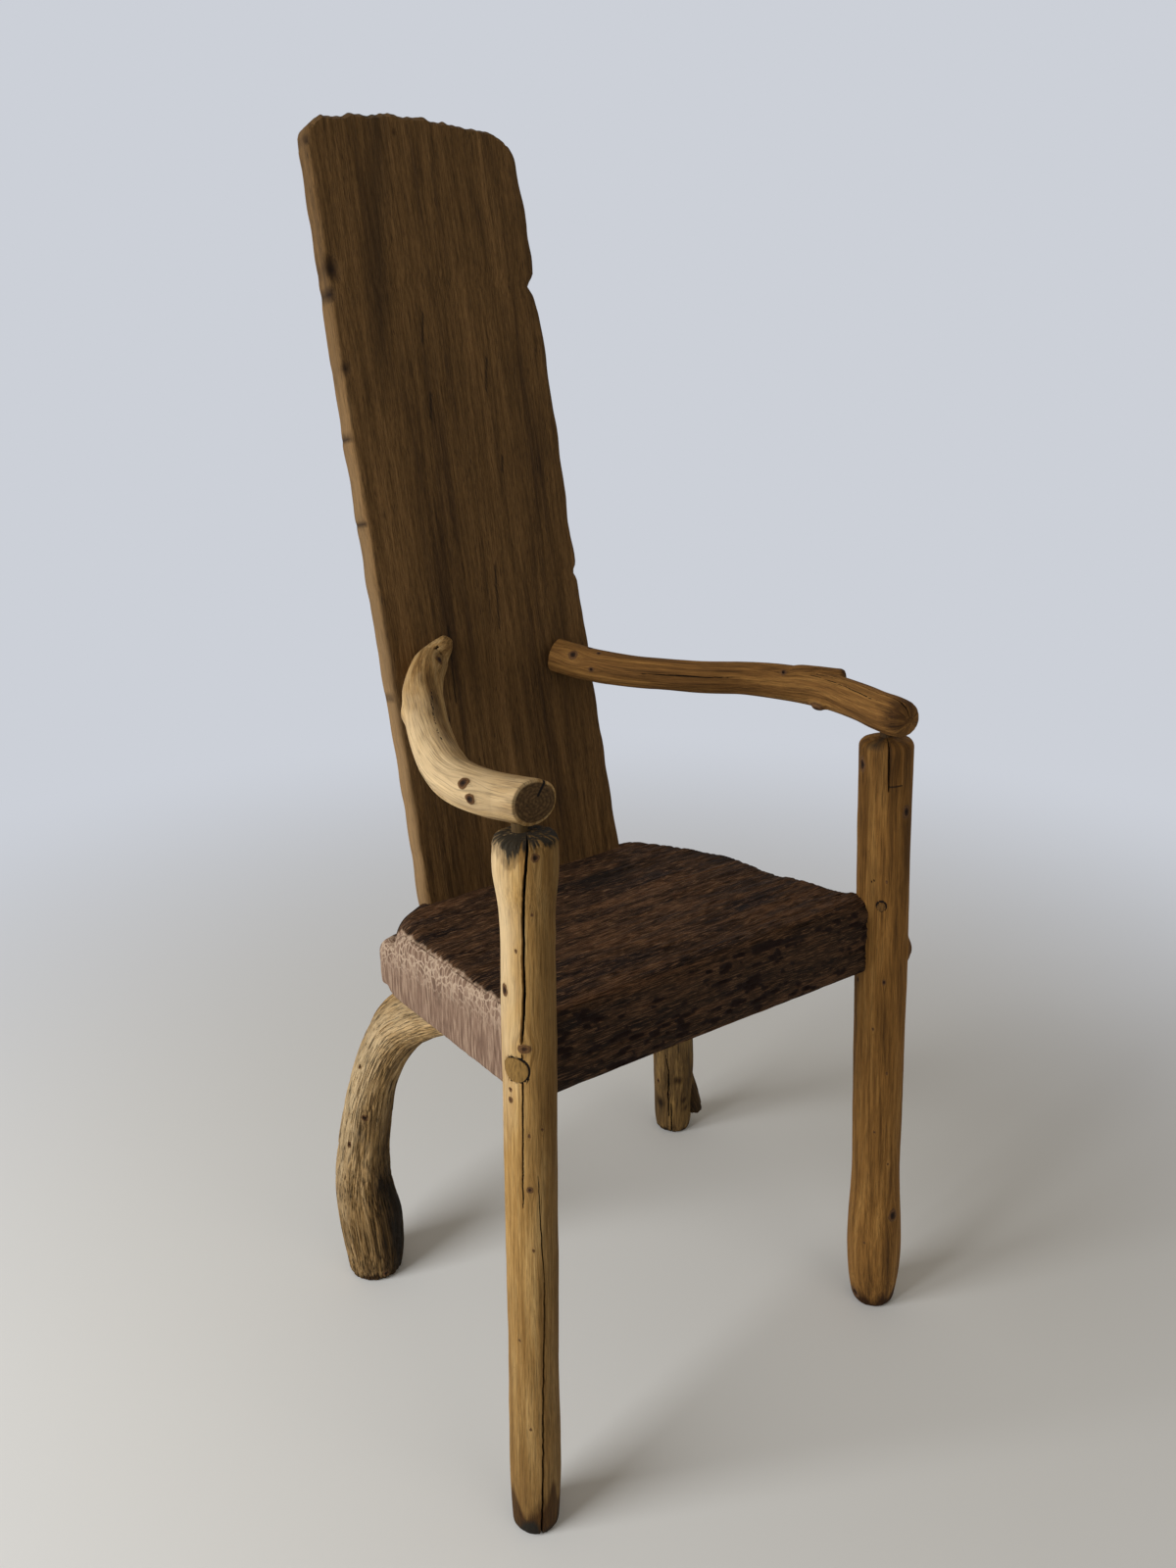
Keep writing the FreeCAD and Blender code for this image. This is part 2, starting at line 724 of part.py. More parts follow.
def right_housing_corners():
    """Slab corner in the right post: along the front edge, and along the waney edge."""
    corner_x = cell("slab_front_right_x")
    corner_y = cell("slab_front_right_y")
    reach = cell("right_post_diameter")
    _, across_share, depth_share = WANE_SHARES[0]
    run = f"(({cell('slab_waist_x')} - {corner_x}) * (1 - {across_share}))"
    depth = f"(({cell('slab_rear_y')} - {corner_y}) * {depth_share})"
    return [
        (corner_x, corner_y),
        (f"{corner_x} + {reach} * {run} / {depth}", f"{corner_y} + {reach}"),
        (f"{corner_x} - {reach}", f"{corner_y} + {reach}"),
        (f"{corner_x} - {reach}", f"{corner_y} - {reach} * {slab_front_slope()}"),
    ]


def build_front_post(side, shares, housing_corners):
    body = new_body(f"front_{side}_post")
    build_post_trunk(body, side, shares)
    place = {"z": cell("seat_height")}
    housing = outline_sketch(body, f"{side}_post_housing", "XY_Plane", housing_corners, place)
    pocket(body, housing, cell("seat_thickness"))
    bore_post(body, side)
    return body


def bore_post(body, side):
    """Counterbore for the screw head and plug, then the hole for the shank."""
    radius = f"{cell(f'{side}_post_diameter')} / 2"
    face = f"sqrt(({radius}) ^ 2 - {cell(f'{side}_screw_offset')} ^ 2)"
    deep = f"({cell('plug_length')} + {cell('post_screw_head_height')})"
    place = post_bore_place(side, f"{face} - {deep}")
    angle = screw_angle(side)
    turn = vector(0, 1, 0)
    width = cell("plug_diameter")
    wide = circle_sketch(body, f"{side}_post_counterbore", "YZ_Plane", width, place, turn, angle)
    pocket(body, wide, f"{deep} + {cell('cut_overrun')}")
    width = f"{cell('post_screw_diameter')} + {cell('fit_clearance')}"
    shank = circle_sketch(body, f"{side}_post_bore", "YZ_Plane", width, place, turn, angle)
    pocket(body, shank, cell("post_screw_length"), reverse=True)


def build_front_posts():
    build_front_post("left", LEFT_POST_SHARES, left_housing_corners())
    right = build_front_post("right", RIGHT_POST_SHARES, right_housing_corners())
    height = f"({cell('seat_height')} - {cell('peg_below_seat')})"
    angle = f"({cell('peg_angle')} * 1deg)"
    back = f"({cell('right_post_diameter')} / 2 - {cell('peg_length')})"
    place = {
        "x": f"{post_line('right', 'y', height)} - {back} * sin({angle})",
        "y": height,
        "z": f"{post_line('right', 'x', height)} - {back} * cos({angle})",
    }
    width = cell("peg_diameter")
    hole = circle_sketch(right, "right_post_peg_hole", "YZ_Plane", width, place, vector(0, 1, 0), angle)
    pocket(right, hole, cell("cut_overrun"))


# Crooked limbs: closed, slightly lobed sections strung along a centreline

# Radius at each corner of a section, as shares of the limb's own: a smooth limb, and the
# left leg with its deep flutes
LOBE_SHARES = (1.01, 0.98, 0.96, 0.97, 1.00, 1.03, 1.04, 1.01, 0.98, 0.96, 0.98, 1.01, 1.03, 1.02)
FLUTE_SHARES = (
    1.03, 0.95, 1.02, 0.98, 1.04, 0.96, 1.05, 0.97, 1.02, 0.94, 1.01, 1.04, 0.96, 1.03, 0.97, 1.01,
)


def limb_section(centre, direction, side, diameter, lobes):
    """Points round one section square to the limb."""
    across = direction.cross(side).normalize()
    flat = across.cross(direction).normalize()
    points = []
    for index, lobe_share in enumerate(lobes):
        angle = 2 * math.pi * index / len(lobes)
        radius = diameter / 2 * lobe_share
        points.append(centre + flat * (radius * math.cos(angle)) + across * (radius * math.sin(angle)))
    return points


def slid_onto_plane(points, direction, base, normal):
    """Points moved along a direction until they lie in a plane."""
    return [point + direction * ((base - point).dot(normal) / direction.dot(normal)) for point in points]


def limb(centres, diameters, side, first_normal, last_normal, lobes=LOBE_SHARES):
    """Solid limb through its sections, whose two end sections lie in given planes."""
    last = len(centres) - 1
    normals = {0: first_normal, last: last_normal}
    wires = []
    for index, centre in enumerate(centres):
        direction = (centres[min(index + 1, last)] - centres[max(index - 1, 0)]).normalize()
        points = limb_section(centre, direction, side, diameters[index], lobes)
        if index in normals:
            points = slid_onto_plane(points, direction, centre, normals[index])
        wires.append(Part.makePolygon(points + points[:1]))
    return Part.makeLoft(wires, True, True)


def strung_points(start, finish, bow, rows):
    """Centres set by two ends and by shares of their distance, of a sideways bow and of the rise."""
    run = vector(finish.x - start.x, finish.y - start.y, 0)
    outward = vector(-run.y, run.x, 0).normalize()
    centres = []
    for rise_share, along_share, bow_share, _ in rows:
        spot = start + run * along_share + outward * (bow * bow_share)
        spot.z = start.z + (finish.z - start.z) * rise_share
        centres.append(spot)
    return centres


# Rear legs

# Each leg from the floor up: shares of the rise to the seat, of the reach under it and of the diameter
LEFT_LEG_SHARES = (
    (0.00, 0.00, 0.92),
    (0.04, 0.00, 1.00),
    (0.16, -0.03, 1.08),
    (0.28, -0.07, 0.97),
    (0.38, -0.04, 0.87),
    (0.50, 0.03, 0.82),
    (0.63, 0.13, 0.77),
    (0.75, 0.28, 0.80),
    (0.84, 0.44, 0.87),
    (0.92, 0.67, 0.93),
    (1.00, 1.00, 1.00),
)
RIGHT_LEG_SHARES = (
    (0.00, 0.00, 0.86),
    (0.03, 0.00, 0.93),
    (0.10, 0.02, 0.96),
    (0.22, 0.06, 1.02),
    (0.34, 0.13, 1.02),
    (0.48, 0.25, 1.02),
    (0.62, 0.41, 1.00),
    (0.74, 0.57, 1.00),
    (0.85, 0.74, 1.00),
    (1.00, 1.00, 1.00),
)
# End of a broken branch, as a share of its width where it leaves the limb
STUB_TAPER_SHARE = 0.55


def leg_centre(side, rise_share, reach_share):
    """Point on the upright plane from a leg's foot to its top."""
    foot = vector(size(f"{side}_leg_foot_x"), size(f"{side}_leg_foot_y"), 0)
    top = vector(size(f"{side}_leg_top_x"), size(f"{side}_leg_top_y"), 0)
    return foot + (top - foot) * reach_share + UP * (seat_underside() * rise_share)


def build_rear_leg(side, rows, lobes, stub=None):
    """A knee-bent limb, cut flat for the floor and the seat, with a round tenon on top."""
    foot = leg_centre(side, 0, 0)
    top = leg_centre(side, 1, 1)
    centres = [leg_centre(side, rise_share, reach_share) for rise_share, reach_share, _ in rows]
    diameters = [size(f"{side}_leg_diameter") * row[-1] for row in rows]
    run = top - foot
    shape = limb(centres, diameters, vector(-run.y, run.x, 0).normalize(), UP, UP, lobes)
    if stub is not None:
        shape = shape.fuse(stub)
    tenon = rod(size("leg_tenon_diameter"), size("leg_tenon_length"), top, UP)
    add_feature(f"rear_{side}_leg", shape.fuse(tenon))


def broken_branch(name, base):
    """Short tapered stub that starts at a point inside its limb."""
    wide = size(f"{name}_diameter")
    direction = heading(size(f"{name}_heading"), size(f"{name}_tilt"))
    ends = [base, base + direction * size(f"{name}_length")]
    return limb(ends, [wide, wide * STUB_TAPER_SHARE], UP, direction, direction)


def leg_stub():
    """Broken branch on the right leg, which hangs down to the right and front."""
    return broken_branch("leg_stub", leg_centre("right", 0, 0) + UP * size("leg_stub_height"))


def build_rear_legs():
    build_rear_leg("left", LEFT_LEG_SHARES, FLUTE_SHARES)
    build_rear_leg("right", RIGHT_LEG_SHARES, LOBE_SHARES, leg_stub())


# Arms

# Each arm from its front end to past the board's face: shares of the rise, of the way
# along, of the bow and of the diameter
LEFT_ARM_SHARES = (
    (0.00, -0.02, -0.36, 1.02),
    (0.00, 0.05, 0.18, 0.98),
    (0.01, 0.10, 0.58, 0.97),
    (0.06, 0.20, 1.02, 0.98),
    (0.13, 0.31, 1.10, 1.00),
    (0.27, 0.45, 1.07, 1.01),
    (0.44, 0.60, 0.94, 1.00),
    (0.63, 0.75, 0.76, 1.00),
    (0.83, 0.89, 0.42, 0.94),
    (1.00, 1.00, 0.00, 0.86),
)
RIGHT_ARM_SHARES = (
    (0.00, -0.065, -0.44, 0.58),
    (0.00, -0.055, -0.38, 0.86),
    (0.00, -0.030, -0.21, 0.97),
    (0.02, 0.03, 0.16, 0.97),
    (0.05, 0.08, 0.53, 0.96),
    (0.14, 0.17, 0.96, 0.98),
    (0.26, 0.27, 1.10, 1.01),
    (0.33, 0.34, 1.05, 0.98),
    (0.44, 0.44, 0.80, 0.90),
    (0.51, 0.55, 0.42, 0.86),
    (0.58, 0.66, 0.18, 0.85),
    (0.66, 0.78, 0.00, 0.88),
    (0.80, 0.89, -0.10, 0.91),
    (1.00, 1.00, 0.00, 0.94),
)
# The row of the right arm at its elbow, where the old branch broke off
ELBOW = 6


def arm_ends(side):
    """Centre of an arm above its post, and where it meets the face of the board."""
    lift = size("arm_gap") + size(f"{side}_arm_diameter") / 2
    start = post_axis(side, size(f"{side}_post_height")) + UP * lift
    finish = on_board(size(f"{side}_arm_board_x"), size(f"{side}_arm_board_z"))
    return start, finish


def arm_centres(side, rows):
    start, finish = arm_ends(side)
    outward = 1 if side == "left" else -1
    return strung_points(start, finish, outward * size(f"{side}_arm_bow"), rows)


def build_arm(side, rows, stub=None):
    """A crooked limb, flat against the board, with blind holes for the tenon and the screw."""
    centres = arm_centres(side, rows)
    diameters = [size(f"{side}_arm_diameter") * row[-1] for row in rows]
    front = (centres[1] - centres[0]).normalize()
    shape = limb(centres, diameters, UP, front, board_normal())
    if stub is not None:
        shape = shape.fuse(stub)
    clearance = size("fit_clearance")
    base = post_axis(side, size(f"{side}_post_height"))
    width = size("post_tenon_diameter") + clearance
    shape = shape.cut(rod(width, size("post_tenon_length") + clearance, base, post_direction(side)))
    width = size("arm_screw_diameter") + clearance
    shape = shape.cut(rod(width, size("arm_screw_bite"), centres[-1], -board_normal()))
    add_feature(f"{side}_arm", shape)


def elbow_stub():
    """Broken end of the old branch, in line with the rear part of the right arm."""
    elbow = arm_centres("right", RIGHT_ARM_SHARES)[ELBOW]
    return broken_branch("arm_stub", elbow + UP * size("arm_stub_rise"))


def build_arms():
    build_arm("left", LEFT_ARM_SHARES)
    build_arm("right", RIGHT_ARM_SHARES, elbow_stub())


# Fasteners

# Points of the screws: length as a share of the diameter
COACH_POINT_SHARE = 0.8
WOOD_POINT_SHARE = 1.2


def primitive(kind, name, **properties):
    item = doc.addObject(kind, name)
    for key, expression in properties.items():
        item.setExpression(key, expression)
    return item


def coach_screw(name, family, placement):
    """Hexagon head below the origin, shank and point above it, then set in place."""
    diameter = cell(f"{family}_diameter")
    head = primitive("Part::Prism", name + "_head", Height=cell(f"{family}_head_height"))
    head.Polygon = 6
    head.setExpression("Circumradius", f"{cell(f'{family}_head_width')} / 2 / cos(30deg)")
    head.setExpression("Placement.Base.z", f"-{cell(f'{family}_head_height')}")
    return driven_screw(name, head, diameter, cell(f"{family}_length"), COACH_POINT_SHARE, placement)


def driven_screw(name, head, diameter, length, point_share, placement):
    """A head, its shank and its point, fused and set in place."""
    point = f"{diameter} * {point_share}"
    start = f"{length} - {point}"
    radius = f"{diameter} / 2"
    shank = primitive("Part::Cylinder", name + "_shank", Radius=radius, Height=start)
    tip = primitive("Part::Cone", name + "_tip", Radius1=radius, Radius2="0", Height=point)
    tip.setExpression("Placement.Base.z", start)
    screw = doc.addObject("Part::MultiFuse", name)
    screw.Shapes = [head, shank, tip]
    screw.Placement = placement
    return screw


def facing(base, direction):
    """Placement that sets a piece at a point with its Z axis along a direction."""
    return FreeCAD.Placement(base, FreeCAD.Rotation(UP, direction))


def group(label, members):
    """Like fasteners in one node, as separate solids."""
    piece = doc.addObject("Part::Compound", label)
    piece.Label = label
    piece.Links = members
    PIECES.append(piece)
    return piece


def build_post_fasteners():
    """A coach screw through each front post into the slab, and the plug over its head."""
    height = size("seat_height") - size("post_screw_below_seat")
    head = size("post_screw_head_height")
    screws = []
    plugs = []
    for side in ("left", "right"):
        direction = heading(size(f"{side}_screw_angle"))
        offset = size(f"{side}_screw_offset")
        face = math.sqrt((size(f"{side}_post_diameter") / 2) ** 2 - offset ** 2)
        line = post_axis(side, height) + UP.cross(direction) * offset
        under_head = line - direction * (face - size("plug_length") - head)
        screws.append(coach_screw(f"{side}_coach_screw", "post_screw", facing(under_head, direction)))
        plugs.append(plug(side, facing(under_head - direction * head, -direction)))
    group("post_coach_screws", screws)
    group("post_plugs", plugs)


def plug(side, placement):
    """Wooden plug over a screw head, trimmed flush with the round face of the post."""
    length = f"{cell('plug_length')} + {cell('cut_overrun')}"
    radius = f"{cell('plug_diameter')} / 2"
    blank = primitive("Part::Cylinder", f"{side}_plug_blank", Radius=radius, Height=length)
    blank.Placement = placement
    girth = f"{cell(f'{side}_post_diameter')} / 2"
    tall = cell(f"{side}_post_height")
    trunk = primitive("Part::Cylinder", f"{side}_plug_trim", Radius=girth, Height=tall)
    trunk.Placement = facing(post_axis(side, 0), post_direction(side))
    piece = doc.addObject("Part::Common", f"{side}_plug")
    piece.Base = blank
    piece.Tool = trunk
    return piece


def build_peg():
    """Small peg in the face of the right post, flush with it."""
    height = size("seat_height") - size("peg_below_seat")
    inward = heading(size("peg_angle"))
    start = post_axis("right", height) - inward * (size("right_post_diameter") / 2)
    peg = doc.addObject("Part::Cylinder", "right_post_peg")
    peg.Label = peg.Name
    peg.setExpression("Radius", f"{cell('peg_diameter')} / 2")
    peg.setExpression("Height", cell("peg_length"))
    peg.Placement = facing(start, inward)
    PIECES.append(peg)


def build_board_fasteners():
    """Two coach screws with washers, driven from behind through the board into the slab."""
    frame = board_frame()
    into_slab = -board_normal()
    middle = (size("board_left_x") + size("board_right_x")) / 2
    back = size("board_thickness")
    screws = []
    washers = []
    for index, step in enumerate((-1, 1), start=1):
        across = middle + step * size("board_screw_reach")
        low = -size("board_screw_below_seat")
        under_head = frame.multVec(vector(across, back + size("washer_thickness"), low))
        place = facing(under_head, into_slab)
        screws.append(coach_screw(f"board_coach_screw_{index}", "board_screw", place))
        washers.append(washer(index, place))
    group("board_coach_screws", screws)
    group("board_washers", washers)


def washer(index, placement):
    disc = primitive(
        "Part::Cylinder",
        f"washer_disc_{index}",
        Radius=f"{cell('washer_diameter')} / 2",
        Height=cell("washer_thickness"),
    )
    bore = primitive(
        "Part::Cylinder",
        f"washer_bore_{index}",
        Radius=f"({cell('board_screw_diameter')} + {cell('fit_clearance')}) / 2",
        Height=cell("washer_thickness"),
    )
    ring = doc.addObject("Part::Cut", f"board_washer_{index}")
    ring.Base = disc
    ring.Tool = bore
    ring.Placement = placement
    return ring


def build_arm_screws():
    """One long wood screw for each arm, driven from behind the board."""
    screws = []
    for side in ("left", "right"):
        screws.append(wood_screw(f"{side}_arm_screw", arm_ends(side)[1]))
    group("arm_screws", screws)


def wood_screw(name, spot):
    """Flat-headed screw whose head lies flush in the back of the board."""
    back = spot + board_normal() * size("board_thickness")
    head_width = f"{cell('arm_screw_head_diameter')} / 2"
    head_height = cell("arm_screw_head_depth")
    head = primitive("Part::Cylinder", name + "_head", Radius=head_width, Height=head_height)
    length = f"({cell('board_thickness')} + {cell('arm_screw_bite')})"
    place = facing(back, -board_normal())
    return driven_screw(name, head, cell("arm_screw_diameter"), length, WOOD_POINT_SHARE, place)


def finish():
    """Check every object and piece, then write one file for each piece."""
    doc.recompute()
    for item in doc.Objects:
        if "Invalid" in item.State or "Error" in item.State:
            raise RuntimeError(f"{item.Name} failed: {item.State}")
    os.makedirs("parts", exist_ok=True)
    for piece in PIECES:
        shape = piece.Shape
        if shape.isNull() or not shape.isValid():
            raise RuntimeError(f"{piece.Label} has no sound shape")
        shape.exportStep(f"parts/{piece.Label}.step")
        print(piece.Label, len(shape.Solids), round(shape.Volume), shape.BoundBox)


build_seat_slab()
build_back_board()
build_front_posts()
build_rear_legs()
build_arms()
build_post_fasteners()
build_peg()
build_board_fasteners()
build_arm_screws()
finish()
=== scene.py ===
# %% [markdown]
# # A driftwood armchair
# The real chair is put together from found wood: a thick slab for the seat, a tall plank
# for the back, two straight poles in front and crooked limbs for the arms and rear legs.
# Nothing on it is flat or turned, so each piece starts as a simple block or pole and is
# then worn, split and furrowed by moving its many small faces.

# %% The frame that every piece is built around
import bmesh
import bpy
import math
import numpy as np
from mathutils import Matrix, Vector


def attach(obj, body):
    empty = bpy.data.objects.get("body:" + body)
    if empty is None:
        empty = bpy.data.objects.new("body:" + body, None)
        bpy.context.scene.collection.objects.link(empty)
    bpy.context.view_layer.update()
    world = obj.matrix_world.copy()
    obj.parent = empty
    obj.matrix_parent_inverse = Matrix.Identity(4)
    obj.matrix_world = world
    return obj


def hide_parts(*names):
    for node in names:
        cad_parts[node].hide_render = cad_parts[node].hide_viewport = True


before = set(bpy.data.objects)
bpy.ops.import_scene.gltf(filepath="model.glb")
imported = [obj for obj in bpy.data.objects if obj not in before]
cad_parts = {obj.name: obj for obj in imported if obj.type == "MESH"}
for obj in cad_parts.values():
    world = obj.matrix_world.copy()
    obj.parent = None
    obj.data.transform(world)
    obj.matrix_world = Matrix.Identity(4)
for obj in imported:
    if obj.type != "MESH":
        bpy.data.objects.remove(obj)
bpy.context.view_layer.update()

MM = 0.001

# %% [markdown]
# Weathered wood is irregular at every size: broad hollows, furrows a few millimetres
# wide, and fibres finer than a hair. A brush would need a window, so the wear comes from
# a smooth random field instead. It is stretched along the grain, because soft early wood
# wears away between the hard rings and leaves long ridges.

# %% A smooth random field
SHUFFLE = np.random.default_rng(11).permutation(256)
SLOPES = np.random.default_rng(12).normal(size=(256, 3))
SLOPES /= np.linalg.norm(SLOPES, axis=1)[:, None]
FIELD_GAIN = 1.7   # brings the field to about -1 to 1
SEED_STEP = 7.31   # cells between the places that two seeds look at
LAYER_STEP = 3.7   # cells between two layers of one noise


def field(points):
    """Smooth noise of about -1 to 1 at points counted in cells."""
    base = np.floor(points).astype(int)
    part = points - base
    fade = part ** 3 * (part * (part * 6 - 15) + 10)
    total = np.zeros(len(points))
    for corner in np.ndindex(2, 2, 2):
        cell = (base + corner) & 255
        pick = SHUFFLE[(SHUFFLE[(SHUFFLE[cell[:, 0]] + cell[:, 1]) & 255] + cell[:, 2]) & 255]
        weight = np.prod(np.where(corner, fade, 1 - fade), axis=1)
        total += weight * (SLOPES[pick] * (part - corner)).sum(1)
    return total * FIELD_GAIN


def wood_noise(grain, across, along, seed=0.0, layers=1):
    """Noise in millimetre cells, long along the grain, which runs in the third column."""
    scaled = grain / (across, across, along) + seed * SEED_STEP
    total = field(scaled)
    for layer in range(1, layers):
        total += field(scaled * 2 ** layer + LAYER_STEP * layer) / 2 ** layer
    return total


def furrows(grain, across, along, seed=0.0):
    """Sharp-bottomed furrows: 0 on the ridges and down to -1 in the grooves."""
    return -(1 - np.minimum(np.abs(wood_noise(grain, across, along, seed)) * 3.2, 1)) ** 1.5


def hollow(distance, reach):
    """A round-bottomed dent: 1 in the middle and 0 from the reach outwards."""
    return np.clip(1 - (distance / reach) ** 2, 0, 1) ** 2


# %% [markdown]
# A pole or limb starts as a cylinder that is cut into fine cells. Its ends are fans of
# triangles, cut into rings so that the end grain can be shaped as well.

# %% A finely cut cylinder
TINY = 1e-5      # two places nearer than this count as one
END_RINGS = 11   # cuts between the middle and the rim of an end


def pick_edges(piece, wanted):
    """Select just those edges that pass the test on their two end points."""
    bpy.ops.mesh.select_all(action="DESELECT")
    mesh = bmesh.from_edit_mesh(piece.data)
    for edge in mesh.edges:
        if wanted(edge.verts[0].co, edge.verts[1].co):
            edge.select_set(True)
    bmesh.update_edit_mesh(piece.data)


def pole_blank(name, around, cuts):
    """A cylinder of height one and radius one, cut along its height and over its ends."""
    bpy.ops.object.select_all(action="DESELECT")
    bpy.ops.mesh.primitive_cylinder_add(vertices=around, radius=1, depth=1, end_fill_type="TRIFAN")
    piece = bpy.context.object
    piece.name = name
    bpy.ops.object.mode_set(mode="EDIT")
    bpy.ops.mesh.select_mode(type="EDGE")
    for number in cuts:
        pick_edges(piece, lambda a, b: abs(a.z - b.z) > TINY)
        bpy.ops.mesh.subdivide(number_cuts=number)
    pick_edges(piece, lambda a, b: min(a.xy.length, b.xy.length) < TINY)
    bpy.ops.mesh.subdivide(number_cuts=END_RINGS)
    bpy.ops.object.mode_set(mode="OBJECT")
    return piece


def mesh_points(piece):
    """The piece's points, one row each."""
    points = np.zeros(len(piece.data.vertices) * 3)
    piece.data.vertices.foreach_get("co", points)
    return points.reshape(-1, 3)


def set_points(piece, points):
    """Move the piece's points to places in millimetres."""
    piece.data.vertices.foreach_set("co", (points * MM).ravel())
    piece.data.update()


def keep(piece, name, values):
    """Store one number or one vector for each point, for the material to read."""
    kind = "FLOAT_VECTOR" if values.ndim == 2 else "FLOAT"
    layer = piece.data.attributes.new(name, kind, "POINT")
    layer.data.foreach_set("vector" if values.ndim == 2 else "value", values.ravel())


# %% [markdown]
# A limb follows a smooth line through measured centres. At each point of the line one
# direction round the limb is kept as zero degrees, so that a knot or a crack can be
# placed by its angle and by its distance from the limb's first end.

# %% Bending a pole along a line
MARKS = ("crack", "knot", "dark", "pale", "char_and_shade", "end")
LINE_STEPS = 900   # steps in which the line of a limb is followed
WANDER_CELL = 11   # millimetres along a crack between its bends


def smooth_line(rows, along):
    """Centre and diameter at distances along a line through the rows."""
    rows = np.array(rows, float)
    gaps = np.linalg.norm(np.diff(rows[:, :3], axis=0), axis=1)
    knots = np.concatenate([[0], np.cumsum(gaps)])
    slope = np.gradient(rows, knots, axis=0)
    index = np.clip(np.searchsorted(knots, along, side="right") - 1, 0, len(gaps) - 1)
    gap = gaps[index][:, None]
    share = ((along - knots[index]) / gaps[index])[:, None]
    first = (2 * share ** 3 - 3 * share ** 2 + 1) * rows[index]
    first += (share ** 3 - 2 * share ** 2 + share) * gap * slope[index]
    second = (3 * share ** 2 - 2 * share ** 3) * rows[index + 1]
    second += (share ** 3 - share ** 2) * gap * slope[index + 1]
    return first + second


def line_length(rows):
    """Length of the straight runs between the rows."""
    return np.linalg.norm(np.diff(np.array(rows, float)[:, :3], axis=0), axis=1).sum()


def unit(vectors):
    """The same directions at length one."""
    return vectors / np.linalg.norm(vectors, axis=-1)[..., None]


class Limb:
    """A cylinder's points, known by angle round, distance along and share of the radius."""

    def __init__(self, name, rows, zero, around=200, cuts=(18, 20), follow=None, crowd=0.0):
        self.piece = pole_blank(name, around, cuts)
        start = mesh_points(self.piece)
        self.share = np.hypot(start[:, 0], start[:, 1])
        self.length = line_length(rows)
        self.along = (start[:, 2] + 0.5) * self.length
        turn = np.arctan2(start[:, 1], start[:, 0])
        turn = turn - crowd * np.sin(turn)
        if follow is not None:
            turn = turn + np.radians(np.interp(self.along, *np.transpose(sorted(follow))))
        self.angle = turn
        table = np.linspace(0, self.length, LINE_STEPS)
        spots = smooth_line(rows, table)
        ahead = unit(np.gradient(spots[:, :3], axis=0))
        across = unit(np.cross(ahead, np.array(zero, float)))
        flat = np.cross(across, ahead)

        def at(values):
            return np.stack([np.interp(self.along, table, column) for column in values.T], axis=1)

        self.centre = at(spots[:, :3])
        self.radius = at(spots[:, 3:])[:, 0] / 2
        self.ahead = unit(at(ahead))
        self.across = unit(at(across))
        self.flat = unit(at(flat))
        self.out = self.flat * np.cos(turn)[:, None] + self.across * np.sin(turn)[:, None]
        self.push = np.zeros(len(start))
        self.marks = {name: np.zeros(len(start)) for name in MARKS}
        self.bent = np.zeros((len(start), 3))

    def grain(self):
        """Straightened place in the limb in millimetres, with the grain in the third column."""
        reach = self.radius * self.share
        columns = [reach * np.cos(self.angle), reach * np.sin(self.angle), self.along]
        return np.stack(columns, axis=1) + self.bent

    def wear(self, *rows):
        """Uneven wear. Rows are height, cell across, cell along, seed and number of layers."""
        grain = self.grain()
        for height, across, along, seed, layers in rows:
            self.push += height * wood_noise(grain, across, along, seed, layers)

    def mark(self, name, values):
        """Raise one of the stored marks to the given values."""
        self.marks[name] = np.maximum(self.marks[name], values)

    def gap_to(self, angle, along):
        """Distances round and along from a spot on the surface."""
        turn = np.radians(angle) - self.angle
        turn = (turn + np.pi) % (2 * np.pi) - np.pi
        return turn * self.radius, self.along - along

    def crack(self, path, width, depth, wander=0.5, seed=1.0):
        """A split along the grain. Path rows are distance along, angle and share of the width."""
        path = np.array(sorted(path), float)
        angle = np.interp(self.along, path[:, 0], path[:, 1])
        share = np.interp(self.along, path[:, 0], path[:, 2], left=0, right=0)
        place = np.zeros((len(self.along), 3))
        place[:, 0] = self.along / WANDER_CELL
        place[:, 1] = seed * 5.3
        gap = self.gap_to(angle, 0)[0] + field(place) * wander
        half = np.maximum(width / 2 * share, 1e-4)
        inside = np.clip(1.25 * (1 - np.abs(gap) / half), 0, 1) * (share > 0) * (self.share > 0.2)
        self.push -= np.sqrt(inside) * depth * np.sqrt(share)
        self.mark("crack", inside)

    def knot(self, angle, along, size, height=0.0, hole=0.0, tall=1.0, strength=1.0):
        """A knot: the fibres part round it, and its middle is raised, sunk or rotted away."""
        gap_round, gap_along = self.gap_to(angle, along)
        far = np.hypot(gap_round, gap_along / tall)
        far *= 1 + 0.18 * field(self.grain() / (size * 0.7) + size)
        self.push += height * hollow(far, size * 1.6) - hole * hollow(far, size * 0.62)
        side = np.sign(gap_round + 1e-9) * size * 0.9
        spread = np.exp(-(gap_along / (size * 3 * tall)) ** 2 - (gap_round / (size * 2.6)) ** 2)
        self.bent[:, 0] -= side * spread * np.sin(self.angle)
        self.bent[:, 1] += side * spread * np.cos(self.angle)
        self.mark("knot", np.clip(1.15 - far / size, 0, 1) * strength)

    def patch(self, mark, angle, along, wide, tall, strength=1.0):
        """A soft-edged stain or pale patch."""
        gap_round, gap_along = self.gap_to(angle, along)
        far = np.hypot(gap_round / wide, gap_along / tall)
        far += 0.25 * wood_noise(self.grain(), 7, 22, seed=wide)
        self.mark(mark, np.clip(1.3 - far, 0, 1) * strength)

    def bulge(self, angle, along, wide, tall, height):
        """A soft swelling."""
        gap_round, gap_along = self.gap_to(angle, along)
        self.push += height * np.exp(-(gap_round / wide) ** 2 - (gap_along / tall) ** 2)

    def far_from(self, end):
        """Distance from the first or the last end."""
        return self.along if end == "first" else self.length - self.along

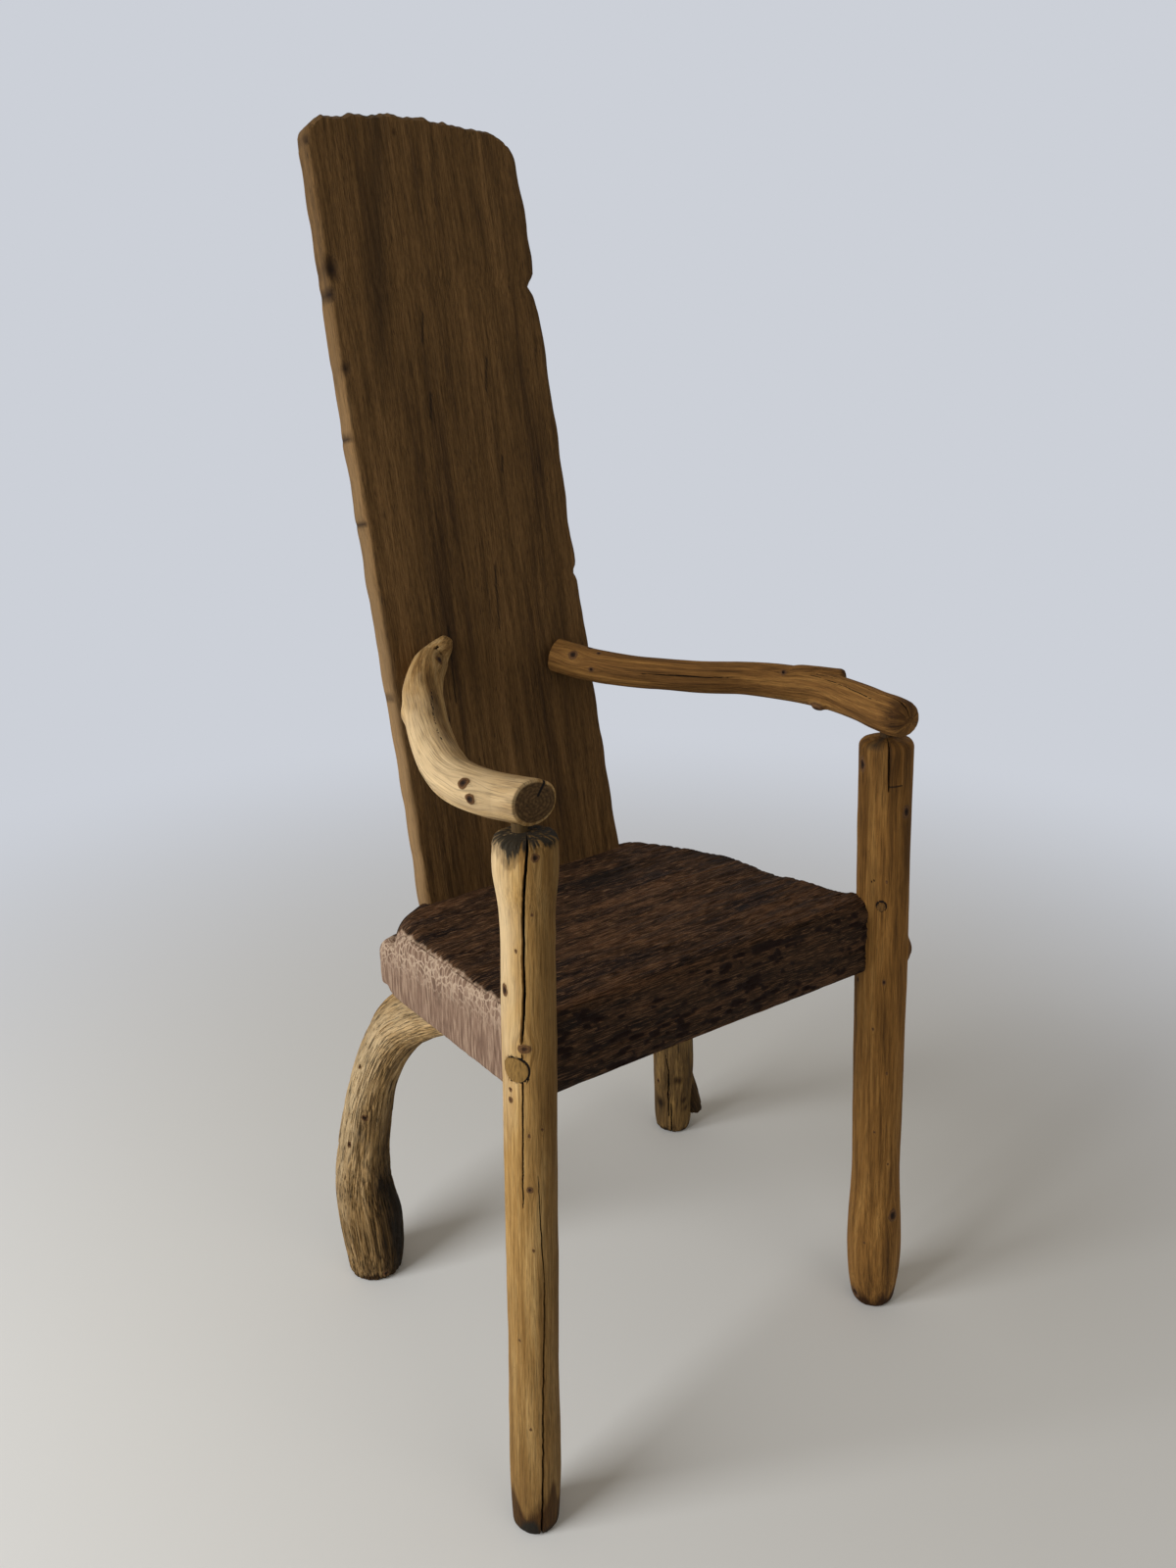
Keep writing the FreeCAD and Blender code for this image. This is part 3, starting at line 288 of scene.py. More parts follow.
    def socket(self, angle, along, radius):
        """A shallow flat round a plug or peg, with the dark line of its hole."""
        gap_round, gap_along = self.gap_to(angle, along)
        far = np.hypot(gap_round, gap_along)
        self.push = np.where(far < radius + 2, -0.5, self.push)
        self.mark("crack", np.clip(1.4 - np.abs(far - radius - 0.5) / 0.7, 0, 1))

    def jag(self, end, depth, cell, seed):
        """Break an end off unevenly."""
        rough = field(self.out * 10 / cell + seed)
        near = np.clip(1 - self.far_from(end) / (2 * depth), 0, 1)
        sign = 1 if end == "first" else -1
        self.centre += self.ahead * (sign * depth * near * (0.5 + rough) * self.share)[:, None]

    def slant_end(self, end, angle, amount):
        """Cut an end off at a slant, with one side of it shorter."""
        near = np.clip(1 - self.far_from(end) / (3 * amount), 0, 1)
        short = (0.5 + 0.5 * np.cos(self.angle - math.radians(angle)) * self.share) * amount
        sign = 1 if end == "first" else -1
        self.centre += self.ahead * (sign * short * near)[:, None]

    def split_end(self, end, angle, reach):
        """A drying split across the end grain, from the rim towards the heart."""
        gap = (self.angle - math.radians(angle) + np.pi) % (2 * np.pi) - np.pi
        side = np.abs(np.sin(gap)) * self.radius * self.share
        here = (self.far_from(end) < 1.5) & (np.abs(gap) < 1) & (self.share > 1 - reach)
        self.mark("crack", here * np.clip(1.5 - side / 0.8, 0, 1))

    def round_end(self, end, rim, dome=0.0):
        """Wear the rim of one end and let the middle of the end stand out."""
        far = self.far_from(end)
        inner = np.clip(rim - far, 0, rim)
        self.push -= rim - np.sqrt(rim ** 2 - inner ** 2)
        sign = -1 if end == "first" else 1
        here = (far < 1e-6) & (self.share < 0.999)
        self.centre += self.ahead * (sign * dome * here * (1 - self.share ** 2))[:, None]

    def shape(self, lift=None):
        """Put every point in its place and store what the material reads."""
        reach = (self.radius + self.push) * self.share
        points = self.centre + self.out * reach[:, None]
        if lift is not None:
            points = lift(points)
        keep(self.piece, "grain", self.grain() * MM)
        for name, values in self.marks.items():
            keep(self.piece, name, values)
        set_points(self.piece, points)


# %% [markdown]
# A piece that is grown from two branches is joined before it is finished. Sawn feet stand
# flat on the floor, so a limb can be held between two heights. The shading is smooth on
# worn wood and stays crisp where two faces meet at a real edge.

# %% Joining and finishing pieces
SMOOTH_UNDER = 40   # degrees between two faces that still shade as one


def flat_between(low, high):
    """A lift that keeps all points between two heights."""
    def lift(points):
        points[:, 2] = np.clip(points[:, 2], low, high)
        return points
    return lift


def select(*pieces):
    """Select just these pieces, with the last one active."""
    bpy.ops.object.select_all(action="DESELECT")
    for piece in pieces:
        piece.select_set(True)
    bpy.context.view_layer.objects.active = pieces[-1]


def join_branch(trunk, branch):
    """Make a branch and its trunk one piece."""
    select(branch, trunk)
    bpy.ops.object.join()


def finish_piece(piece, material, nodes):
    """Give a piece its material, outward faces and smooth shading, and set it on the chair."""
    piece.data.materials.append(material)
    select(piece)
    bpy.ops.object.mode_set(mode="EDIT")
    bpy.ops.mesh.select_all(action="SELECT")
    bpy.ops.mesh.normals_make_consistent(inside=False)
    bpy.ops.object.mode_set(mode="OBJECT")
    bpy.ops.object.shade_smooth_by_angle(angle=math.radians(SMOOTH_UNDER))
    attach(piece, "root")
    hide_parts(*nodes)
    points = mesh_points(piece) / MM
    low, high = points.min(0).round(1), points.max(0).round(1)
    print(piece.name, len(piece.data.polygons), "faces", low, high)


# %% [markdown]
# ## Materials
# All the wood is bare: no oil, stain or varnish is left on it. Dry wood scatters light
# and hardly shines, so its roughness is high. Its colour changes with the fibres, which
# are drawn as noise that is fine across the grain and long along it.

# %% Colours and one helper that adds nodes
def colour(hex_code):
    """A colour written as sRGB hex, turned to the linear values that shaders use."""
    def linear(part):
        return part / 12.92 if part <= 0.04045 else ((part + 0.055) / 1.055) ** 2.4

    return [linear(int(hex_code[index:index + 2], 16) / 255) for index in (1, 3, 5)] + [1]


def add_node(tree, kind, inputs=None, out=0, stops=None, **settings):
    """Add a node with its settings, input values or links and ramp stops; give one output."""
    node = tree.nodes.new("ShaderNode" + kind)
    for name, value in settings.items():
        setattr(node, name, value)
    for name, value in (inputs or {}).items():
        if isinstance(value, bpy.types.NodeSocket):
            tree.links.new(value, node.inputs[name])
        else:
            node.inputs[name].default_value = colour(value) if isinstance(value, str) else value
    for index, (place, value) in enumerate(stops or []):
        elements = node.color_ramp.elements
        element = elements[index] if index < len(elements) else elements.new(place)
        element.position = place
        element.color = colour(value) if isinstance(value, str) else (value, value, value, 1)
    return node.outputs[out] if node.outputs else node


MIX = {"out": 2, "data_type": "RGBA", "blend_type": "MIX"}
TIMES = {"out": 2, "data_type": "RGBA", "blend_type": "MULTIPLY"}
OVERLAY = {"out": 2, "data_type": "RGBA", "blend_type": "OVERLAY"}


def bare_material(name):
    """A material with no nodes yet, and its tree."""
    material = bpy.data.materials.new(name)
    material.use_nodes = True
    material.node_tree.nodes.clear()
    return material, material.node_tree


def grain_noise(tree, grain, across, along, detail=4.0, rough=0.6, twist=0.0):
    """Noise with cells of a real size in millimetres across and along the grain."""
    scale = (1 / (across * MM), 1 / (across * MM), 1 / (along * MM))
    cells = add_node(tree, "Mapping", {"Vector": grain, "Scale": scale})
    return add_node(tree, "TexNoise", {"Vector": cells, "Scale": 1.0, "Detail": detail,
                                       "Roughness": rough, "Distortion": twist})


def lay_over(tree, tone, layers):
    """Lay colours over a tone one by one, each with its amount and its way of blending."""
    for amount, over, blend in layers:
        tone = add_node(tree, "Mix", {0: amount, 6: tone, 7: over}, **blend)
    return tone


def fibre_relief(tree, fibres, fine):
    """Relief of long fibres with lower hairs between them."""
    hairs = add_node(tree, "Math", {0: fine, 1: 0.4}, operation="MULTIPLY")
    return add_node(tree, "Math", {0: fibres, 1: hairs}, operation="ADD")


def dry_surface(tree, tone, relief, depth, roughness=0.8, metallic=0.0, shine=0.15):
    """A matt surface with a colour and a relief of the given depth in millimetres."""
    normal = add_node(tree, "Bump", {"Height": relief, "Strength": 0.7, "Distance": depth * MM})
    surface = add_node(tree, "BsdfPrincipled", {"Base Color": tone, "Normal": normal,
                                                "Roughness": roughness, "Metallic": metallic,
                                                "Specular IOR Level": shine})
    add_node(tree, "OutputMaterial", {"Surface": surface})


# %% [markdown]
# Limb wood is drawn in layers, from large to small: broad bands, long fibres, then fine
# hairs and specks. Stains, char, the painted shade on the left post and under the arms, knots
# and splits come last, where the shape has stored them.

# %% Wood of the poles and limbs
END_TONES = ("#2a1e13", "#4e3c26", "#775f41")


def limb_wood(name, tones, fibre=1.0, depth=0.5, streak=0.5):
    """Peeled and sea-washed limb in three tones, dark in its knots and splits."""
    material, tree = bare_material(name)
    grain = add_node(tree, "Attribute", out="Vector", attribute_name="grain")
    marks = {mark: add_node(tree, "Attribute", out="Fac", attribute_name=mark) for mark in MARKS}
    broad = grain_noise(tree, grain, 15, 160, detail=3)
    bands = grain_noise(tree, grain, 3.5, 100, detail=3)
    fibres = grain_noise(tree, grain, fibre, 36, detail=3, rough=0.65)
    fine = grain_noise(tree, grain, 0.4, 12, detail=2)
    specks = grain_noise(tree, grain, 1.2, 4.5, detail=2, rough=0.7)
    mixed = add_node(tree, "Math", {0: broad, 1: bands}, operation="ADD")
    share = add_node(tree, "MapRange", {"Value": mixed, "From Min": 0.72, "From Max": 1.28})
    tone = add_node(tree, "ValToRGB", {0: share}, stops=list(zip((0.0, 0.5, 1.0), tones)))
    streaks = add_node(tree, "ValToRGB", {0: fibres}, stops=[(0.36, 0.15), (0.5, 1.0)])
    hairs = add_node(tree, "ValToRGB", {0: fine}, stops=[(0.3, 0.2), (0.7, 0.8)])
    flecks = add_node(tree, "ValToRGB", {0: specks}, stops=[(0.27, 0.7), (0.33, 0.0)])
    pale = add_node(tree, "Math", {0: marks["pale"], 1: 0.7}, operation="MULTIPLY")
    bleached = add_node(tree, "Mix", {0: streak * 0.7, 6: "#cfbb98", 7: streaks}, **TIMES)
    # The dark mark tints towards these browns: stains, and painted shade on the left post.
    stain_and_shade = add_node(tree, "Mix", {0: fibres, 6: "#31271b", 7: "#7f6a48"}, **MIX)
    inside = add_node(tree, "ValToRGB", {0: marks["knot"]}, stops=[(0.03, 0.0), (0.22, 1.0)])
    rings = knot_rings(tree, marks["knot"], specks)
    # Near black for char, and for the painted shade in the gaps under the arms.
    soot_and_shade = add_node(tree, "Mix", {0: specks, 6: "#0b0a09", 7: "#2b2923"}, **MIX)
    split = add_node(tree, "ValToRGB", {0: marks["crack"]}, stops=[(0.1, 0.0), (0.35, 1.0)])
    tone = lay_over(tree, tone, (
        (streak, streaks, TIMES), (0.45, hairs, OVERLAY), (flecks, tones[0], MIX),
        (pale, bleached, MIX), (marks["dark"], stain_and_shade, TIMES), (inside, rings, MIX),
        (marks["end"], end_grain(tree, grain), MIX), (marks["char_and_shade"], soot_and_shade, MIX),
        (split, "#0d0906", MIX)))
    dry_surface(tree, tone, fibre_relief(tree, fibres, fine), depth)
    return material


def knot_rings(tree, knot, specks):
    """Uneven brown rings that darken to the heart of a knot."""
    uneven = add_node(tree, "Math", {0: specks, 1: 0.4, 2: -0.2}, operation="MULTIPLY_ADD")
    wobble = add_node(tree, "Math", {0: knot, 1: uneven}, operation="ADD")
    return add_node(tree, "ValToRGB", {0: wobble}, stops=[(0.05, "#755a3a"), (0.2, "#523a25"),
                                                          (0.4, "#6a4d31"), (0.6, "#3f2b1c"),
                                                          (0.9, "#1f150e")])


def end_grain(tree, grain):
    """Growth rings on a sawn end."""
    flat = add_node(tree, "Mapping", {"Vector": grain, "Scale": (1.0, 1.0, 0.0)})
    rings = add_node(tree, "TexWave", {"Vector": flat, "Scale": 95.0, "Distortion": 8.0,
                                       "Detail": 3.0, "Detail Roughness": 0.7},
                     out="Fac", wave_type="RINGS", rings_direction="Z")
    mottle = grain_noise(tree, grain, 3, 3)
    mixed = add_node(tree, "Mix", {0: 0.86, 6: rings, 7: mottle}, **MIX)
    return add_node(tree, "ValToRGB", {0: mixed}, stops=list(zip((0.25, 0.5, 0.8), END_TONES)))


# %% [markdown]
# ## Front left post
# The left pole is a peeled branch, honey yellow, with a long drying split down its face.
# A split opens because the outside of a pole shrinks more than its heart. The cells of
# the cylinder are made to follow it, so that its edges stay crisp.

# %% Front left post
LEFT_POST = [(-236, -192, 0, 39.5), (-235.5, -191.5, 14, 41.5), (-231.5, -186.6, 170, 42.5),
             (-227, -181.2, 340, 42.5), (-222.5, -175.8, 510, 42.2), (-220.3, -173, 590, 43),
             (-219.7, -172.4, 616, 47.5), (-219, -171.5, 644, 46.4)]
PLUG_RADIUS = 10
TENON_WIDE = 12
OVER_POSTS = 700   # any height above the posts
LEFT_SPLIT = [(8, 250), (267, 263), (369, 250), (430, 226), (489, 222), (548, 226), (604, 230),
              (645, 240)]


def stain_foot(limb, height, uneven, seed, mark="dark"):
    """The dark rim that a foot gets from standing on wet ground."""
    edge = height + uneven * wood_noise(limb.grain(), 12, 50, seed=seed)
    limb.mark(mark, np.clip((edge - limb.along) / (0.6 * height), 0, 0.95))


def left_post():
    limb = Limb("front_left_post_wood", LEFT_POST, (1, 0, 0), follow=LEFT_SPLIT, crowd=0.6)
    grain = limb.grain()
    limb.wear((0.7, 26, 110, 2, 1), (0.3, 9, 45, 3, 2))
    limb.push += 0.16 * furrows(grain, 4, 70, seed=4)
    limb.round_end("last", 5, dome=1.0)
    limb.round_end("first", 3)
    limb.crack([(485, 222, 0.0), (487, 222, 0.9), (524, 228, 1.0), (548, 226, 1.0), (604, 230, 0.9),
                (650, 241, 0.8)], 2.8, 10, seed=1)
    limb.crack([(334, 218, 0.0), (350, 219, 0.7), (449, 222, 1.0), (475, 222, 1.0),
                (477, 222, 0.0)], 1.5, 3, wander=0.4, seed=2)
    limb.crack([(267, 264, 0.5), (300, 259, 1.0), (369, 252, 0.3)], 1.3, 3, seed=2.5)
    limb.crack([(0, 250, 1.0), (120, 256, 1.0), (267, 264, 0.7)], 1.9, 6, seed=3)
    limb.crack([(451, 230, 0.0), (455, 234, 1.0), (462, 236, 0.9), (468, 231, 0.0)], 1.4, 2,
               wander=0, seed=4)
    limb.knot(227, 481, 5.6, height=0.6, hole=0.4, tall=0.7, strength=0.75)
    limb.knot(194, 444, 1.8, hole=1.0, strength=0.8)
    limb.knot(194, 435, 2.4, height=0.2, tall=1.2, strength=0.7)
    limb.knot(182, 526, 3.4, height=0.6, hole=1.6, tall=1.5)
    limb.knot(234, 357, 3.0, height=0.3, hole=0.4, strength=0.8)
    limb.knot(252, 634, 3.2, height=0.3, hole=1.0)
    for angle, along in ((234, 406), (246, 590), (212, 560), (262, 410), (240, 300), (205, 210),
                         (228, 120)):
        limb.knot(angle, along, 1.3, hole=0.4, strength=0.8)
    limb.bulge(160, 622, 16, 22, 1.8)
    limb.bulge(300, 566, 8, 9, 1.2)
    limb.socket(208, 462, PLUG_RADIUS)
    burr = np.exp(-((limb.length - limb.along) / 8) ** 2)
    limb.push += burr * 1.5 * wood_noise(grain, 3, 3, seed=8, layers=2)
    # The top is charred, and the shade of the gap under the arm is painted on: a ragged near-black
    # band round the top, with a dark band below it.
    hang = 8 * np.exp(-(limb.gap_to(206, 0)[0] / 7) ** 2)
    ragged = 5 + hang + 6 * wood_noise(grain, 3, 14, seed=9, layers=3)
    limb.marks["char_and_shade"] = np.clip((ragged - limb.far_from("last")) / 4, 0, 0.95)
    limb.marks["dark"] = np.clip((ragged + 7 - limb.far_from("last")) / 8, 0, 0.5)
    # Painted shade: the side turned away from the window is darkened.
    shaded_side = np.clip(np.cos(limb.angle - math.radians(305)), 0, 1)
    limb.mark("dark", 0.6 * shaded_side)
    limb.mark("dark", np.clip((420 - limb.along) / 900, 0, 0.42))
    stain_foot(limb, 60, 30, 10)
    stain_foot(limb, 14, 16, 11, mark="char_and_shade")
    limb.patch("pale", 170, 580, 17, 170)
    return limb


def add_tenon(post, rows):
    """The round tenon that holds an arm just clear of its post. Rows are centres."""
    rows = [row + (TENON_WIDE,) for row in rows]
    tenon = Limb("tenon", rows, (1, 0, 0), around=48, cuts=(6,))
    # Painted shade: the tenon, seen in the gap under the arm, is coloured near black.
    tenon.marks["char_and_shade"] += 0.8
    tenon.shape()
    join_branch(post.piece, tenon.piece)


post_left = left_post()
post_left.shape(flat_between(0, OVER_POSTS))
add_tenon(post_left, [(-221.5, -166.5, 636), (-221.5, -166.5, 644), (-221.5, -166.5, 652)])
HONEY_POLE = limb_wood("peeled_honey_pole", ("#8c6a39", "#a98650", "#c2a26b"), streak=0.4)
finish_piece(post_left.piece, HONEY_POLE, ["front_left_post"])

# %% [markdown]
# ## Front right post
# The right pole is darker and carries a short split with a flake broken off beside it.

# %% Front right post
RIGHT_POST = [(207, -190, 0, 43), (206.3, -189.6, 12, 47), (197, -184, 180, 48.5),
              (188.4, -179.2, 330, 49), (180, -174.1, 480, 49), (173, -169.8, 600, 49),
              (171, -168.5, 640, 48.5)]
PEG_RADIUS = 4


def right_post():
    limb = Limb("front_right_post_wood", RIGHT_POST, (1, 0, 0), follow=[(0, 226), (636, 226)],
                crowd=0.5)
    limb.wear((0.7, 24, 120, 12, 1), (0.35, 10, 50, 13, 2))
    limb.push += 0.16 * furrows(limb.grain(), 5, 60, seed=14)
    limb.round_end("last", 8, dome=2)
    limb.round_end("first", 4)
    limb.crack([(599, 228, 0.7), (622, 227, 1.0), (645, 226, 1.0)], 1.6, 5, wander=0.2, seed=5)
    gap_round, gap_along = limb.gap_to(244, 603)
    beside = np.abs(gap_round) < 6.5
    limb.push -= 1.2 * (beside & (gap_along > 0)) * np.clip(1.3 - gap_along / 50, 0.3, 1)
    limb.mark("crack", beside * (np.abs(gap_along) < 0.9) * 0.35)
    limb.knot(164, 620, 4.5, height=0.4, hole=0.7, tall=1.6)
    limb.knot(272, 576, 4.5, height=0.4, hole=1.0, tall=1.6)
    limb.knot(308, 428, 7, height=3.6, tall=1.2, strength=0.7)
    limb.knot(158, 397, 2.2, hole=0.8, tall=1.7)
    limb.knot(228, 403, 2.0, hole=0.6, tall=1.5)
    limb.knot(264, 124, 5, height=1.2, hole=1.0, tall=1.5)
    limb.knot(168, 12, 6, hole=2.5)
    limb.crack([(507, 192, 0.3), (509, 200, 1.0), (511, 204, 0.3)], 2.0, 1, wander=0, seed=6)
    for angle, along in ((228, 509), (206, 350), (240, 300), (215, 230), (250, 190), (200, 90)):
        limb.knot(angle, along, 1.3, hole=0.4, strength=0.9)
    limb.patch("dark", 280, 540, 12, 60, 0.5)
    limb.patch("dark", 176, 580, 10, 70, 0.6)
    limb.patch("dark", 200, 500, 7, 60, 0.45)
    limb.patch("dark", 246, 600, 6, 12, 0.5)
    limb.patch("dark", 226, 640, 34, 70, 0.6)
    limb.patch("char_and_shade", 192, 640, 9, 5, 0.8)
    limb.socket(218, 484, PEG_RADIUS)
    stain_foot(limb, 22, 14, 20)
    return limb


post_right = right_post()
post_right.shape(flat_between(0, OVER_POSTS))
add_tenon(post_right, [(171.4, -168.7, 632), (170.9, -168.4, 642), (170.4, -168.2, 652)])
OCHRE_POLE = limb_wood("peeled_ochre_pole", ("#5c401e", "#866030", "#a07943"))
finish_piece(post_right.piece, OCHRE_POLE, ["front_right_post"])

# %% [markdown]
# ## Rear legs
# The rear legs are natural knees: limbs that bend from the floor to under the seat. The
# left one is so washed out that its fibres stand up as long furrows. The right one keeps
# the torn stub of a side branch, which is a small limb of its own set into the trunk.

# %% Rear left leg
LEG_TOP = 407.9   # just under the seat slab
LEFT_LEG = [(-212, 169, 0, 57), (-212, 169, 16, 62), (-213, 174, 65, 67), (-214.5, 180, 114, 61),
            (-213.4, 175.4, 155, 55), (-211, 164, 204, 52), (-207.5, 148, 257, 49),
            (-202, 124, 306, 51), (-196.6, 98, 343, 55), (-188.5, 61, 375, 59),
            (-177, 8, 408, 63.5)]


def side_of(first, last):
    """Level direction at a right angle to the run of a leg, as seen from above."""
    run = np.array(last) - np.array(first)
    return unit(np.array([-run[1], run[0], 0.0]))


def left_leg():
    limb = Limb("rear_left_leg_wood", LEFT_LEG, side_of((-212, 169), (-177, 8)), around=210)
    grain = limb.grain()
    limb.wear((1.0, 22, 90, 22, 1), (0.6, 8, 80, 23, 2))
    limb.push += 1.5 * furrows(grain, 3.8, 80, seed=24) + 1.0 * furrows(grain, 2.4, 50, seed=25)
    limb.knot(220, 226, 4.2, height=0.8, hole=2.8, tall=1.1)
    limb.knot(190, 179, 2.6, hole=2.0, tall=1.8)
    limb.knot(170, 291, 2.0, hole=1.2, tall=1.6)
    limb.knot(252, 10, 4, height=0.6, hole=0.8)
    limb.bulge(296, 70, 13, 22, 3.5)
    limb.round_end("first", 4)
    limb.patch("dark", 290, 60, 28, 120)
    limb.patch("char_and_shade", 296, 62, 19, 100, 0.8)
    limb.mark("dark", np.clip((230 - limb.along) / 700, 0, 0.25))
    limb.patch("dark", 288, 190, 12, 100, 0.7)
    limb.patch("dark", 215, 200, 7, 30, 0.3)
    limb.patch("pale", 170, 280, 20, 200, 0.9)
    stain_foot(limb, 9, 8, 26)
    return limb


leg_left = left_leg()
leg_left.shape(flat_between(0, LEG_TOP))
PALE_LIMB = limb_wood("sea_washed_pale_limb", ("#5f4a2f", "#93774d", "#bfa378"), fibre=1.3,
                      depth=1.6, streak=1.0)
finish_piece(leg_left.piece, PALE_LIMB, ["rear_left_leg"])

# %% [markdown]
# The right rear leg leans further out and is more yellow than the left one. Its stub was
# a side branch that broke off, so its end is torn and darker than the rest.

# %% Rear right leg
RIGHT_LEG = [(223.5, 170, 0, 43), (223.5, 170, 12, 46.5), (220, 167, 41, 48), (214, 161, 90, 51),
             (202.5, 150, 139, 51), (183, 132, 196, 51), (157, 108, 253, 50), (131, 83, 302, 50),
             (104, 57.5, 347, 50), (62, 18, 408, 50)]
LEG_STUB = [(221, 172, 99, 34), (223.5, 170, 92, 35), (236, 160.5, 56, 30),
            (247.5, 151.8, 22.5, 21)]


def right_leg():
    limb = Limb("rear_right_leg_wood", RIGHT_LEG, side_of((223.5, 170), (62, 18)), around=190)
    limb.wear((1.0, 22, 90, 32, 1), (0.5, 9, 60, 33, 2))
    limb.push += 0.6 * furrows(limb.grain(), 4.5, 60, seed=34)
    limb.crack([(34, 264, 0.5), (72, 262, 1.0), (120, 264, 1.0), (155, 256, 0.3)], 1.8, 4, seed=7)
    limb.crack([(0, 274, 1.0), (55, 272, 0.6)], 1.8, 4, seed=7.5)
    limb.knot(262, 72, 2.8, height=0.8, hole=0.6)
    limb.knot(228, 91, 2.6, height=0.4, hole=1.8, tall=1.6)
    for angle, along, wide, tall in ((292, 101, 7, 9), (316, 59, 7, 8), (322, 44, 7, 8),
                                     (236, 52, 6, 10)):
        limb.patch("dark", angle, along, wide, tall, 0.9)
    limb.patch("dark", 330, 80, 12, 90, 0.6)
    limb.round_end("first", 4)
    stain_foot(limb, 8, 6, 36)
    return limb


def leg_stub():
    limb = Limb("leg_stub", LEG_STUB, (0, 1, 0), around=90, cuts=(8, 6))
    limb.wear((0.8, 8, 40, 37, 2))
    limb.push += 0.7 * furrows(limb.grain(), 4, 50, seed=38)
    limb.jag("last", 6, 6, seed=2)
    limb.marks["dark"] = np.clip(limb.along / 60, 0.2, 0.75)
    return limb


leg_right = right_leg()
leg_right.shape(flat_between(0, LEG_TOP))
stub = leg_stub()
stub.shape(flat_between(21, LEG_TOP))
join_branch(leg_right.piece, stub.piece)
TAN_LIMB = limb_wood("sea_washed_tan_limb", ("#3f301c", "#6d5533", "#957848"), fibre=1.6, depth=0.9,
                     streak=0.7)
finish_piece(leg_right.piece, TAN_LIMB, ["rear_right_leg"])

# %% [markdown]
# ## Arms
# Each arm is one crooked branch. The left one is pale and smooth, like bone, and shows
# its sawn end. The right one is browner, with the stump of a branch at its elbow.

# %% Left arm
LEFT_ARM = [(-208.2, -180.7, 666.5, 35.4), (-221.2, -156, 666.5, 34.3), (-230.9, -138.2, 666.9, 34),
            (-238, -106.3, 668.9, 34.3), (-231.9, -75.4, 671.6, 35), (-219.5, -37.3, 677.2, 35.4),
            (-202.8, 2.4, 683.9, 35), (-184.5, 41.7, 691.4, 35), (-161.4, 76.5, 699.3, 32.4),
            (-139.5, 100.5, 705.5, 27), (-131, 100.5, 714, 19), (-124, 102.5, 721, 10)]
RAKE = math.radians(11.1)
BOARD_FACE_Y = 59
SEAT_TOP = 485
ARM_SINK = 1.5   # how far an arm's end goes into the board


def board_depth(points):
    """Distance behind the front face of the raked board."""
    back = points[:, 1] - BOARD_FACE_Y
    return back * math.cos(RAKE) - (points[:, 2] - SEAT_TOP) * math.sin(RAKE)


def against_board(points):
    """Flatten the end that would run further than a little way into the board."""
    deep = np.maximum(board_depth(points) - ARM_SINK, 0)
    points[:, 1] -= deep * math.cos(RAKE)
    points[:, 2] += deep * math.sin(RAKE)
    return points


def left_arm():
    limb = Limb("left_arm_wood", LEFT_ARM, (0, 0, 1), around=190)
    limb.wear((0.9, 20, 80, 42, 1), (0.35, 8, 50, 43, 2))
    limb.push += 0.2 * furrows(limb.grain(), 4, 70, seed=44)
    limb.round_end("first", 2)
    limb.bulge(288, 54, 8, 16, 4.0)
    limb.knot(304, 56, 4.0, height=1.4, hole=1.2)
    limb.knot(274, 48, 4.0, height=1.6, hole=1.2)
    limb.knot(46, 286, 4.2, height=0.5, hole=0.6, tall=1.2)
    limb.crack([(300, 42, 0.3), (308, 38, 1.0), (320, 36, 0.8)], 2.0, 3, wander=0.3, seed=9.2)
    limb.bulge(264, 208, 8, 11, 2.4)
    limb.crack([(58, 212, 0.3), (78, 244, 1.0), (124, 272, 0.3)], 1.6, 2.5, wander=0.3, seed=8)
    limb.crack([(299, 46, 0.3), (325, 43, 1.0)], 2.4, 5, seed=9)
    limb.crack([(119, 4, 0.4), (160, 12, 0.6), (217, 20, 0.3)], 0.8, 0.6, wander=2.0, seed=9.5)
    limb.split_end("first", 30, 0.7)
    limb.slant_end("first", 275, 17)
    limb.round_end("last", 2.5)
    limb.patch("dark", 24, 190, 7, 60, 0.55)
    limb.patch("dark", 60, 300, 12, 40, 0.35)
    limb.patch("pale", 300, 90, 26, 140)
    limb.marks["end"] = np.clip(1 - limb.along / 1.5, 0, 1) * (limb.share < 0.92)
    return limb


arm_left = left_arm()
arm_left.shape(against_board)
BONE_LIMB = limb_wood("bone_pale_limb", ("#785a34", "#a48556", "#c9ae80"), fibre=1.1, streak=0.6)
finish_piece(arm_left.piece, BONE_LIMB, ["left_arm"])

# %% [markdown]
# The right arm turns at an elbow and still is one stick, because it grew that way. The
# branch that made the elbow was cut off, and its stump is a small limb set into the arm.

# %% Right arm
RIGHT_ARM = [(167.8, -194.5, 662.5, 30), (169.3, -181.2, 662.5, 34), (171, -157, 663, 34),
             (174.5, -135.4, 663.8, 33.6), (172.9, -101.9, 666.1, 34.3), (159.9, -72, 669.1, 35.4),
             (145.8, -54.4, 670.9, 34.3), (119.8, -33.2, 673.7, 31.5), (87.6, -12.2, 675.5, 30.1),
             (60.2, 11.9, 677.3, 29.8), (32.9, 40, 679.3, 30.8), (10.2, 67.2, 682.9, 31.9),
             (-6, 98.8, 688, 32.9)]
ARM_STUMP = [(149, -60, 674, 25), (159.9, -72, 676.1, 25.5), (175, -86.5, 677.5, 19.5),
             (189, -100.2, 679, 14)]


